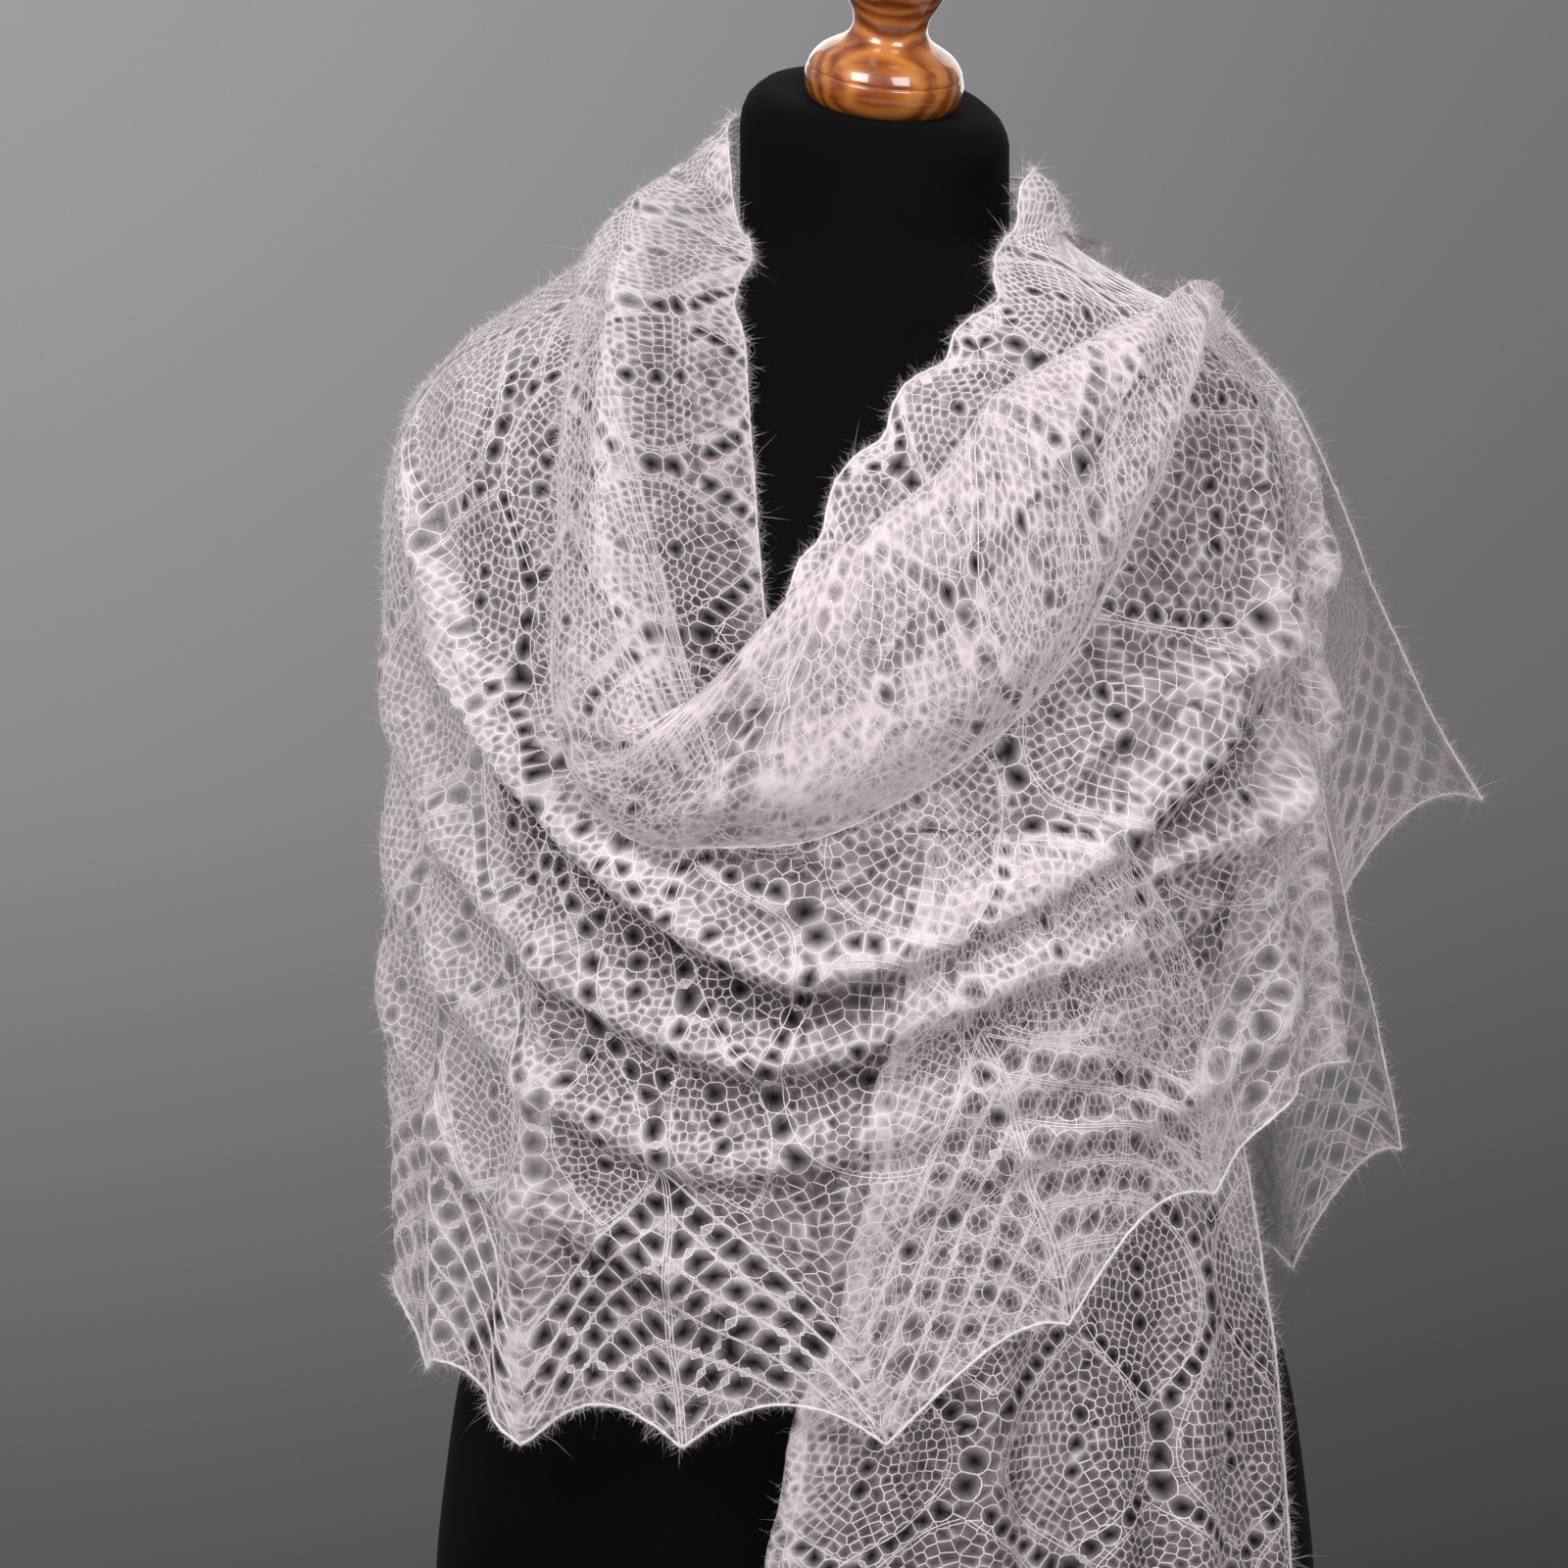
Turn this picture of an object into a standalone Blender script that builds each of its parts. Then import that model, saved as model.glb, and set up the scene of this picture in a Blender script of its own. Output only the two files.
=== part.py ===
"""A knitted lace stole wound once round a limbless dress form on a turned wooden foot.

Lengths in the tables are millimetres and angles are degrees. A turn of 0 faces the front (-Y),
+90 is the right side (+X), -90 the left side and 180 the back. A drop is a depth below the
top of the form's neck, and a reach is a length measured down the cloth from the neck.
"""

import bpy
import math
import numpy as np

MM = 0.001

# Driving dimensions, in millimetres
FOOT_HEIGHT = 160.0
FORM_LENGTH = 760.0
NECK_TOP = FOOT_HEIGHT + FORM_LENGTH
SEAT_GAP = 0.3
SEAM_GAP = 0.8
CLOTH_THICKNESS = 1.6
NECK_SLANT_FORWARD = 13.0
NECK_SLANT_SIDE = 4.0
NECK_SLANT_FADE = 75.0
FORM_EDGE_ANGLE = 50.0
FOOT_RADIUS = 165.0
FOOT_PLATE = 24.0
SCALLOP_WIDTH = 73.0
SCALLOP_DEPTH = 17.0
SCALLOP_BAND = 120.0
EYELET_SIZE = 0.32
FLARE_POWER = 2.2
PROBE_TURN = 1.0
PROBE_DOWN = 4.0
SWAG_BOW = 1.5
SWAG_END = 1.25
SWAG_FADE = 0.35
PLEAT_FADE = 0.4
PLEAT_START = 0.2

# The dress form: sections by drop
BODY_COLUMNS = ("drop", "half_width", "front", "back")
BODY = (
    (0, 46, 46, 46),
    (5, 52, 52, 52),
    (14, 55, 55, 55),
    (60, 55, 56, 57),
    (72, 64, 62, 66),
    (88, 100, 74, 84),
    (98, 128, 82, 92),
    (112, 148, 90, 100),
    (130, 160, 98, 106),
    (150, 166, 107, 111),
    (180, 169, 119, 115),
    (210, 165, 131, 116),
    (250, 158, 141, 114),
    (275, 154, 142, 111),
    (305, 150, 135, 107),
    (350, 141, 116, 98),
    (400, 134, 102, 90),
    (430, 133, 98, 89),
    (470, 146, 102, 98),
    (512, 167, 110, 113),
    (560, 175, 117, 125),
    (600, 179, 120, 131),
    (660, 181, 120, 133),
    (720, 177, 116, 128),
    (748, 170, 110, 121),
    (FORM_LENGTH, 158, 101, 111),
)

# The hang of the wrapped cloth: sections by reach from the neck
HANG_COLUMNS = ("reach", "drop", "left", "right", "front", "back")
HANG = (
    (-45, 5, 59, 59, 59, 59),
    (-20, 30, 61, 61, 61, 63),
    (0, 52, 68, 68, 67, 71),
    (30, 60, 97, 94, 78, 86),
    (60, 71, 124, 114, 87, 97),
    (90, 86, 150, 133, 98, 106),
    (120, 103, 174, 151, 109, 116),
    (150, 127, 192, 168, 124, 126),
    (190, 166, 200, 178, 142, 134),
    (240, 216, 199, 180, 159, 138),
    (290, 266, 194, 180, 168, 138),
    (350, 326, 193, 182, 170, 136),
    (430, 406, 193, 186, 168, 134),
    (500, 476, 192, 186, 165, 135),
    (560, 536, 190, 184, 163, 137),
    (600, 576, 189, 183, 162, 138),
)

# The wrapped length: one row for each scallop point of its hem, from the right side
# round the back and the left shoulder to the front and up to the right shoulder
WRAP_COLUMNS = (
    "scallop",
    "hem_turn",
    "hem_reach",
    "hem_lift",
    "top_turn",
    "top_reach",
    "top_lift",
)
WRAP = (
    (-8, -262, 455, 32, -254, 8, -6),
    (-7, -249, 506, 2, -234, 12, -6),
    (-6, -223, 518, -4, -210, 14, -6),
    (-5, -197, 516, -4, -184, 14, -6),
    (-4, -170, 510, -4, -157, 16, -5),
    (-3, -143, 503, -2, -130, 18, -3),
    (-2, -117, 500, 0, -100, 22, -1),
    (-1, -91, 512, 0, -67, 34, 0),
    (0, -69, 537, 0, -43, 95, 0),
    (1, -46, 562, 0, -35, 150, 0),
    (2, -23.5, 560, 0, -32, 226, 0),
    (3, 0.6, 557, 0, -24, 300, 0),
    (4, 23, 512, 0, 0, 266, 0),
    (5, 45, 464, 0, 20, 206, 0),
    (5.5, 60, 440, 0, 45, 130, 0),
    (6, 80, 416, 0, 86, 92, 0),
    (7, 98, 350, 3, 99, 84, 0),
)

# Draped folds of the wrap that run across the body, each a curve hung from two ends
SWAG_COLUMNS = (
    "low_turn",
    "low_reach",
    "left_turn",
    "left_reach",
    "right_turn",
    "right_reach",
    "height",
    "above",
    "below",
)
SWAGS = (
    (-9, 379, -62, 234, 50, 274, 14, 22, 9),
    (-4, 355, -26, 336, 30, 320, 5, 8, 7),
    (-14, 412, -72, 290, 44, 330, 8, 22, 10),
    (-18, 452, -76, 340, 30, 400, 6, 20, 12),
    (28, 372, 2, 392, 62, 300, 7, 16, 12),
    (40, 330, 14, 372, 80, 268, 6, 16, 12),
)

# Folds of the wrap that hang down the body
PLEAT_COLUMNS = ("top_turn", "top_reach", "low_turn", "low_reach", "height", "half_turn")
PLEATS = (
    (-38, 330, -47, 520, 7, 6),
    (-76, 170, -80, 520, 5, 9),
    (64, 130, 58, 440, 7, 8),
    (-104, 150, -106, 480, 6, 8),
    (-130, 120, -134, 480, 7, 9),
    (-156, 100, -160, 480, 8, 9),
    (-182, 100, -186, 480, 7, 9),
    (-208, 100, -212, 480, 7, 9),
    (-236, 110, -238, 470, 6, 8),
)

# The rolled collar: sections from behind the right of the neck round to the right shoulder
ROLL_COLUMNS = (
    "inner_turn",
    "inner_drop",
    "inner_lift",
    "crest_turn",
    "crest_reach",
    "crest_lift",
    "outer_turn",
    "outer_reach",
    "outer_lift",
    "bulge",
)
ROLL_RISE_PART = 0.55
ROLL_UPPER_PART = 0.38
ROLL_LOWER_PART = 0.78
ROLL_UPPER_BULGE = 0.75
ROLL_LOWER_BULGE = 1.05
ROLL = (
    (-250, 16, 5, -250, -22, 8, -250, 34, 4, 3),
    (-215, 11, 5, -215, -18, 14, -215, 44, 4, 5),
    (-175, 8, 3.6, -175, -14, 18, -175, 50, 4, 7),
    (-140, 8, 3.6, -140, -20, 19, -140, 54, 4, 8),
    (-106, 8, 5, -104, -24, 19, -100, 52, 4, 8),
    (-84, 18, 5, -82, -10, 20, -82, 46, 4, 7),
    (-66, 52, 6, -62, 22, 17, -70, 48, 2.6, 7),
    (-36, 83, 7, -37, 84, 15, -50, 96, 2.2, 8),
    (-20, 112, 7, -27, 135, 17, -40, 136, 4, 9),
    (-16, 172, 7, -25.5, 196, 18, -38, 196, 4, 10),
    (-15, 219, 7, -25, 243, 19, -38.5, 240, 6, 11),
    (-13.5, 240, 8, -24.5, 268, 19, -38.5, 268, 9, 11),
    (-12, 250, 10, -24, 282, 18, -36.5, 296, 10, 12),
    (-11, 246, 13, -19.5, 272, 16, -32, 317, 10, 13),
    (-9, 236, 14, -13.5, 250, 14, -24, 329, 9, 14),
    (-6, 220, 14, -8.5, 232, 12, -11, 328, 6, 15),
    (-1, 203, 13, -3, 215, 11, 3.5, 309, 4, 15),
    (9, 176, 13, 7.5, 188, 10, 16.5, 280, 4, 15),
    (16, 148, 13, 14.5, 160, 10, 24, 254, 4, 14),
    (27, 126, 13, 25.5, 140, 10, 31, 218, 4, 12),
    (42, 110, 13, 40, 119, 11, 39, 178, 4, 10),
    (70, 98, 12, 66, 90, 11, 54, 128, 4, 6),
    (90, 96, 11, 89, 76, 9, 82, 100, 4, 4),
)

# The first end beside the neck: sections from the right side of the neck to the breast
STRIP_COLUMNS = ("inner_turn", "inner_drop", "outer_turn", "outer_drop", "puff")
STRIP = (
    (96, 18, 94, 98, 11),
    (78, 36, 80, 99, 9),
    (60, 58, 66, 102, 6),
    (40, 74, 50, 112, 4),
    (23, 90, 38, 126, 3),
    (10, 108, 26, 150, 2),
    (3, 128, 18, 175, 1),
    (-4, 155, 10, 197, 0),
    (-9.5, 186, 4, 218, 0),
    (-13, 215, 0, 244, 0),
    (-14, 250, 7, 270, 0),
    (-14, 295, 16, 296, 0),
)
STRIP_LIFT = 6.0
STRIP_RIPPLE = 1.2
STRIP_RIPPLES_ACROSS = 2.2
STRIP_RIPPLES_ALONG = 1.1

# The first end where it hangs down the front: sections by drop
FALL_COLUMNS = ("drop", "left_turn", "right_turn", "half_width", "front")
FALL = (
    (299, -13, 34, 168, 145),
    (350, -13, 43, 180, 151),
    (420, -13, 51, 184, 150),
    (500, -13, 57, 186, 149),
    (560, -13, 60, 187, 148),
    (640, -13, 62, 189, 147),
    (720, -13, 63, 190, 145),
    (800, -13, 63, 190, 143),
)
FALL_END = 786.0
FALL_SCALLOPS = 4
FALL_SCALLOP_DEPTH = 20.0
FALL_FOLD_GROWTH = 0.3
FALL_FOLD_COLUMNS = ("turn", "lean", "half_turn", "height", "start")
FALL_FOLDS = (
    (-11, 0, 3.0, 6, 330),
    (12, -5, 6.0, 12, 400),
    (28, 3, 5.0, 7, 480),
    (42, -3, 6.0, 9, 420),
    (55, 2, 4.0, 6, 480),
)

# The second end, thrown over the right shoulder: one row for each scallop point of its hem
THROWN_COLUMNS = WRAP_COLUMNS
THROWN = (
    (0, 104, 313, 82, 92, 82, 2.2),
    (1, 116, 351, 44, 101, 76, 7),
    (2, 131, 374, 25, 113, 70, 8),
    (3, 148, 404, 18, 127, 64, 9),
    (4, 166, 424, 16, 141, 58, 10),
    (5, 184, 430, 14, 155, 56, 10),
)
THROWN_PLEATS = (
    (112, 120, 124, 360, 6, 6),
    (132, 110, 146, 390, 7, 7),
    (146, 110, 166, 410, 5, 6),
)

JERSEY_BLACK = (0.012, 0.012, 0.014)
VARNISHED_WOOD = (0.45, 0.17, 0.04)
MOHAIR = (0.78, 0.69, 0.72)


def named(table, columns):
    """The table's columns by name, as arrays."""
    rows = np.array(table, float)
    return {name: rows[:, i] for i, name in enumerate(columns)}


def smooth(at, known_at, known):
    """A curve through the known values that doesn't swing past them, read at other places."""
    at = np.clip(at, known_at[0], known_at[-1])
    step = np.diff(known_at)
    slope = np.diff(known) / step
    tangent = np.empty(len(known))
    tangent[0] = slope[0]
    tangent[-1] = slope[-1]
    same_way = slope[:-1] * slope[1:] > 0
    mean = 2 * slope[:-1] * slope[1:] / np.where(same_way, slope[:-1] + slope[1:], 1)
    tangent[1:-1] = np.where(same_way, mean, 0)
    i = np.clip(np.searchsorted(known_at, at, side="right") - 1, 0, len(step) - 1)
    t = (at - known_at[i]) / step[i]
    return (
        (1 + 2 * t) * (1 - t) ** 2 * known[i]
        + t * (1 - t) ** 2 * step[i] * tangent[i]
        + t * t * (3 - 2 * t) * known[i + 1]
        + t * t * (t - 1) * step[i] * tangent[i + 1]
    )


def through(points, t):
    """A curve through each row of points (first axis), read at t from 0 to 1."""
    last = len(points) - 1
    along = np.clip(t, 0, 1) * last
    i = np.minimum(along.astype(int), last - 1)
    f = (along - i)[:, None]
    each = np.arange(len(i))
    before, a, b, after = (points[np.clip(i + k, 0, last), each] for k in (-1, 0, 1, 2))
    return 0.5 * (
        2 * a
        + (b - before) * f
        + (2 * before - 5 * a + 4 * b - after) * f**2
        + (3 * a - before - 3 * b + after) * f**3
    )


BODY_TABLE = named(BODY, BODY_COLUMNS)
HANG_TABLE = named(HANG, HANG_COLUMNS)


def section(turn, half_width, front, back):
    """A point on an oval section."""
    angle = np.radians(turn)
    x = half_width * np.sin(angle)
    y = -np.where(np.cos(angle) > 0, front, back) * np.cos(angle)
    return x, y


def body_point(turn, drop):
    """A point on the dress form."""
    turn, drop = np.broadcast_arrays(turn, drop)
    width, front, back = (
        smooth(drop, BODY_TABLE["drop"], BODY_TABLE[name])
        for name in BODY_COLUMNS[1:]
    )
    x, y = section(turn, width, front, back)
    return np.stack([x, y, NECK_TOP - drop], -1)


def hang_point(turn, reach):
    """A point on the smooth surface that the wrapped cloth follows."""
    turn, reach = np.broadcast_arrays(turn, reach)
    drop, left, right, front, back = (
        smooth(reach, HANG_TABLE["reach"], HANG_TABLE[name])
        for name in HANG_COLUMNS[1:]
    )
    x, y = section(turn, np.where(np.sin(np.radians(turn)) < 0, left, right), front, back)
    return np.stack([x, y, NECK_TOP - drop], -1)


def lifted(surface, turn, down, lift):
    """A point moved off a surface along its outward direction."""
    across = surface(turn + PROBE_TURN, down) - surface(turn - PROBE_TURN, down)
    along = surface(turn, down + PROBE_DOWN) - surface(turn, down - PROBE_DOWN)
    outward = np.cross(along, across)
    outward /= np.linalg.norm(outward, axis=-1, keepdims=True)
    return surface(turn, down) + outward * np.asarray(lift)[..., None]


def bump(offset, above, below):
    """A rounded ridge, 1 at its crest, with its own width on each side."""
    t = np.clip(np.where(offset < 0, -offset / above, offset / below), 0, 1)
    return (1 - t * t) ** 2


def swag_height(turn, reach):
    """How far the draped folds stand out from the wrap."""
    total = np.zeros(np.broadcast(turn, reach).shape)
    for row in SWAGS:
        fold = dict(zip(SWAG_COLUMNS, row))
        side = np.where(turn < fold["low_turn"], fold["left_turn"], fold["right_turn"])
        end = np.where(turn < fold["low_turn"], fold["left_reach"], fold["right_reach"])
        out = np.abs((turn - fold["low_turn"]) / (side - fold["low_turn"]))
        rise = out**SWAG_BOW
        curve = fold["low_reach"] + (end - fold["low_reach"]) * rise
        fade = np.clip((SWAG_END - out) / SWAG_FADE, 0, 1)
        above = fold["above"] * (1 + rise)
        below = fold["below"] * (1 + rise)
        total += fold["height"] * fade * bump(reach - curve, above, below)
    return total


def pleat_height(pleats, turn, reach):
    """How far the hanging folds stand out."""
    total = np.zeros(np.broadcast(turn, reach).shape)
    for row in pleats:
        fold = dict(zip(PLEAT_COLUMNS, row))
        down = (reach - fold["top_reach"]) / (fold["low_reach"] - fold["top_reach"])
        centre = fold["top_turn"] + (fold["low_turn"] - fold["top_turn"]) * down
        fade = np.clip(down / PLEAT_FADE + PLEAT_START, 0, 1)
        total += fold["height"] * fade * bump(turn - centre, fold["half_turn"], fold["half_turn"])
    return total


def scallop_arch(scallop):
    """0 at each point of a scalloped hem and 1 midway between two points."""
    part = scallop - np.floor(scallop)
    return 1 - (2 * part - 1) ** 2


def wrap_point(table, columns, pleats, swags, scallop, down):
    """A point on a length of cloth whose hem has a row of scallop points."""
    rows = named(table, columns)
    hem_turn, hem_reach, hem_lift, top_turn, top_reach, top_lift = (
        smooth(scallop, rows["scallop"], rows[name]) for name in columns[1:]
    )
    reach = top_reach + (hem_reach - top_reach) * down
    nearness = np.clip(1 - (hem_reach - reach) / SCALLOP_BAND, 0, 1)
    reach = reach - SCALLOP_DEPTH * scallop_arch(scallop) * nearness
    turn = top_turn + (hem_turn - top_turn) * down
    lift = top_lift + (hem_lift - top_lift) * down**FLARE_POWER
    lift = lift + pleat_height(pleats, turn, reach)
    if swags:
        lift = lift + swag_height(turn, reach)
    return lifted(hang_point, turn, reach, lift)


def wrapped(first, last, u, v):
    """A point on the wrap between two scallop points, just short of the seam at each."""
    gap = 0.5 * SEAM_GAP / SCALLOP_WIDTH
    scallop = first + gap + (last - first - 2 * gap) * u
    return wrap_point(WRAP, WRAP_COLUMNS, PLEATS, True, scallop, v)


def thrown_point(u, v):
    """A point on the end that is thrown over the shoulder."""
    scallop = u * THROWN[-1][0]
    return wrap_point(THROWN, THROWN_COLUMNS, THROWN_PLEATS, False, scallop, v)


def roll_point(u, v):
    """A point on the rolled collar, from its inner edge over the crest to its outer edge."""
    rows = named(ROLL, ROLL_COLUMNS)
    station = u * (len(ROLL) - 1)
    places = np.arange(len(ROLL), dtype=float)
    at = {name: smooth(station, places, rows[name]) for name in ROLL_COLUMNS}
    inner = lifted(body_point, at["inner_turn"], at["inner_drop"], at["inner_lift"])
    crest = lifted(hang_point, at["crest_turn"], at["crest_reach"], at["crest_lift"])
    outer = lifted(hang_point, at["outer_turn"], at["outer_reach"], at["outer_lift"])

    def slope(part, lift):
        turn = at["crest_turn"] + (at["outer_turn"] - at["crest_turn"]) * part
        reach = at["crest_reach"] + (at["outer_reach"] - at["crest_reach"]) * part
        return lifted(hang_point, turn, reach, lift)

    upper = slope(ROLL_UPPER_PART, at["crest_lift"] + at["bulge"] * ROLL_UPPER_BULGE)
    lower = slope(ROLL_LOWER_PART, at["outer_lift"] + at["bulge"] * ROLL_LOWER_BULGE)
    rise = inner + (crest - inner) * ROLL_RISE_PART
    return through(np.stack([inner, rise, crest, upper, lower, outer]), v)


def strip_point(u, v):
    """A point on the first end beside the neck."""
    rows = named(STRIP, STRIP_COLUMNS)
    places = np.arange(len(STRIP), dtype=float)
    at = {name: smooth(u * places[-1], places, rows[name]) for name in STRIP_COLUMNS}
    turn = at["inner_turn"] + (at["outer_turn"] - at["inner_turn"]) * v
    drop = at["inner_drop"] + (at["outer_drop"] - at["inner_drop"]) * v
    wave = STRIP_RIPPLES_ACROSS * v + STRIP_RIPPLES_ALONG * u
    ripple = STRIP_RIPPLE * np.sin(2 * math.pi * wave)
    puff = at["puff"] * np.sin(math.pi * v)
    return lifted(body_point, turn, drop, STRIP_LIFT + puff + ripple)


def fall_point(u, v):
    """A point on the first end where it hangs down the front."""
    rows = named(FALL, FALL_COLUMNS)
    part = u * FALL_SCALLOPS
    start = FALL[0][0]
    drop = start + (FALL_END - start) * v
    nearness = np.clip(1 - (FALL_END - drop) / SCALLOP_BAND, 0, 1)
    drop = drop - FALL_SCALLOP_DEPTH * scallop_arch(part) * nearness
    at = {name: smooth(drop, rows["drop"], rows[name]) for name in FALL_COLUMNS[1:]}
    turn = at["left_turn"] + (at["right_turn"] - at["left_turn"]) * u
    lift = np.zeros(np.broadcast(u, v).shape)
    for row in FALL_FOLDS:
        fold = dict(zip(FALL_FOLD_COLUMNS, row))
        down = np.clip((drop - fold["start"]) / (FALL_END - fold["start"]), 0, 1)
        centre = fold["turn"] + fold["lean"] * down
        grown = np.clip(down / FALL_FOLD_GROWTH, 0, 1)
        lift += fold["height"] * grown * bump(turn - centre, fold["half_turn"], fold["half_turn"])
    x, y = section(turn, at["half_width"] + lift, at["front"] + lift, at["front"] + lift)
    return np.stack([x, y, NECK_TOP - drop], -1)


def fan_eyelet(column, row_from_hem, per_scallop):
    """Whether a cell of the net holds one of the large eyelets of the lace repeat."""
    across = abs(column % (2 * per_scallop) - per_scallop)
    fan = 1 <= row_from_hem <= 4 and (across + row_from_hem) % 2 == 0
    fan = fan and across <= per_scallop - row_from_hem
    spine = row_from_hem >= 6 and across == 0 and row_from_hem % 4 < 2
    leaf = row_from_hem >= 6 and across == per_scallop - 2 and row_from_hem % 4 == 2
    return fan or spine or leaf


def new_object(name, mesh, collection):
    obj = bpy.data.objects.new(name, mesh)
    collection.objects.link(obj)
    return obj


def finish_for(name, colour, roughness, sheen=0.0, coat=0.0):
    """A material with the part's colour and gloss."""
    material = bpy.data.materials.new(name)
    material.use_nodes = True
    shader = material.node_tree.nodes["Principled BSDF"]
    shader.inputs["Base Color"].default_value = (*colour, 1)
    shader.inputs["Roughness"].default_value = roughness
    shader.inputs["Metallic"].default_value = 0
    shader.inputs["Sheen Weight"].default_value = sheen
    shader.inputs["Coat Weight"].default_value = coat
    return material


def make_cloth(name, collection, point, columns, rows, eyelets):
    """A wall of cloth on a grid, with an eyelet cut in each cell (column, row) that has one."""
    u, v = np.meshgrid(np.arange(columns + 1) / columns, np.arange(rows + 1) / rows)
    vertices = list(point(u.ravel(), v.ravel()))
    faces = []
    width = columns + 1
    half = EYELET_SIZE
    for row in range(rows):
        for column in range(columns):
            a = row * width + column
            corners = (a, a + 1, a + width + 1, a + width)
            if (column, row) not in eyelets:
                faces.append(corners)
                continue
            middle = np.array([column + 0.5, row + 0.5])
            rim = middle + np.array([(0, -half), (half, 0), (0, half), (-half, 0)])
            first = len(vertices)
            vertices.extend(point(rim[:, 0] / columns, rim[:, 1] / rows))
            for side in range(4):
                here = first + side
                after = first + (side + 1) % 4
                faces.append((corners[side], corners[(side + 1) % 4], here))
                faces.append((corners[(side + 1) % 4], after, here))
    mesh = bpy.data.meshes.new(name)
    mesh.from_pydata([tuple(p * MM) for p in vertices], [], faces)
    mesh.update()
    mesh.shade_smooth()
    obj = new_object(name, mesh, collection)
    wall = obj.modifiers.new("wall", "SOLIDIFY")
    wall.thickness = CLOTH_THICKNESS * MM
    wall.offset = 0
    mesh.materials.append(finish_for(name, MOHAIR, 0.9, sheen=0.6))
    return obj


def hem_eyelets(columns, rows, first_row, per_scallop):
    """The cells that hold eyelets, in the rows that show."""
    return {
        (column, row)
        for row in range(first_row, rows)
        for column in range(1, columns - 1)
        if fan_eyelet(column, rows - 1 - row, per_scallop)
    }


def make_form(collection):
    """The dress form, lofted through its sections, with a neck top that slants."""
    steps = 32
    turn = np.arange(steps) * 360 / steps
    vertices = []
    faces = []
    for drop in BODY_TABLE["drop"]:
        ring = body_point(turn, np.full(steps, drop))
        fade = max(0.0, 1 - drop / NECK_SLANT_FADE)
        ring[:, 2] += fade * math.tan(math.radians(NECK_SLANT_FORWARD)) * ring[:, 1]
        ring[:, 2] -= fade * math.tan(math.radians(NECK_SLANT_SIDE)) * ring[:, 0]
        vertices.extend(ring)
    rings = len(BODY)
    for ring in range(rings - 1):
        for step in range(steps):
            a = ring * steps + step
            b = ring * steps + (step + 1) % steps
            faces.append((a, a + steps, b + steps, b))
    faces.append(tuple(range(steps)))
    faces.append(tuple(reversed(range((rings - 1) * steps, rings * steps))))
    mesh = bpy.data.meshes.new("form_torso")
    mesh.from_pydata([tuple(p * MM) for p in vertices], [], faces)
    mesh.update()
    mesh.shade_smooth()
    mesh.set_sharp_from_angle(angle=math.radians(FORM_EDGE_ANGLE))
    mesh.materials.append(finish_for("form_torso", JERSEY_BLACK, 0.85, sheen=0.2))
    return new_object("form_torso", mesh, collection)


def make_turned(name, profile, collection, colour, steps=24):
    """A turned piece: a profile of (radius, height) rows from top to bottom, spun round Z."""
    mesh = bpy.data.meshes.new(name)
    points = [(radius * MM, 0, height * MM) for radius, height in profile]
    edges = [(i, i + 1) for i in range(len(points) - 1)]
    mesh.from_pydata(points, edges, [])
    obj = new_object(name, mesh, collection)
    turning = obj.modifiers.new("turning", "SCREW")
    turning.axis = "Z"
    turning.steps = steps
    turning.render_steps = steps
    turning.use_merge_vertices = True
    turning.merge_threshold = 0.00001
    turning.use_smooth_shade = True
    mesh.materials.append(finish_for(name, colour, 0.25, coat=0.6))
    return obj


def make_finial(collection):
    """The neck cap: a bead, a waisted stem and a plain knob, square to the slanted neck."""
    profile = (
        (0, 90),
        (9, 89),
        (16, 85.5),
        (21, 79),
        (22.5, 71),
        (21, 63),
        (18.6, 55),
        (17.2, 47),
        (17.5, 39),
        (19.6, 32),
        (24, 27),
        (29, 22),
        (32, 15),
        (32, 8.5),
        (29.5, 3.2),
        (25, 0.4),
        (0, 0.4),
    )
    finial = make_turned("neck_finial", profile, collection, VARNISHED_WOOD)
    finial.location = (0, 0, NECK_TOP * MM)
    finial.rotation_euler = (
        math.radians(NECK_SLANT_FORWARD),
        math.radians(NECK_SLANT_SIDE),
        0,
    )
    return finial


def make_foot(collection):
    """The turned column under the form and the round plate that it stands on."""
    top = FOOT_HEIGHT - SEAT_GAP
    column = (
        (0, top),
        (62, top),
        (64, top - 5),
        (60, top - 12),
        (34, top - 20),
        (22, top - 34),
        (19, top - 60),
        (21, top - 84),
        (32, top - 100),
        (42, FOOT_PLATE + 14),
        (45, FOOT_PLATE + 7),
        (42, FOOT_PLATE + SEAT_GAP),
        (0, FOOT_PLATE + SEAT_GAP),
    )
    plate = (
        (0, FOOT_PLATE),
        (60, FOOT_PLATE),
        (FOOT_RADIUS - 26, FOOT_PLATE - 3),
        (FOOT_RADIUS - 14, FOOT_PLATE - 7),
        (FOOT_RADIUS - 3, FOOT_PLATE - 11),
        (FOOT_RADIUS, FOOT_PLATE - 16),
        (FOOT_RADIUS - 1.5, 2),
        (FOOT_RADIUS - 4, 0),
        (0, 0),
    )
    make_turned("stand_column", column, collection, VARNISHED_WOOD)
    make_turned("stand_base", plate, collection, VARNISHED_WOOD, steps=36)


def wrap_between(first, last):
    return lambda u, v: wrapped(first, last, u, v)


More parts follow.
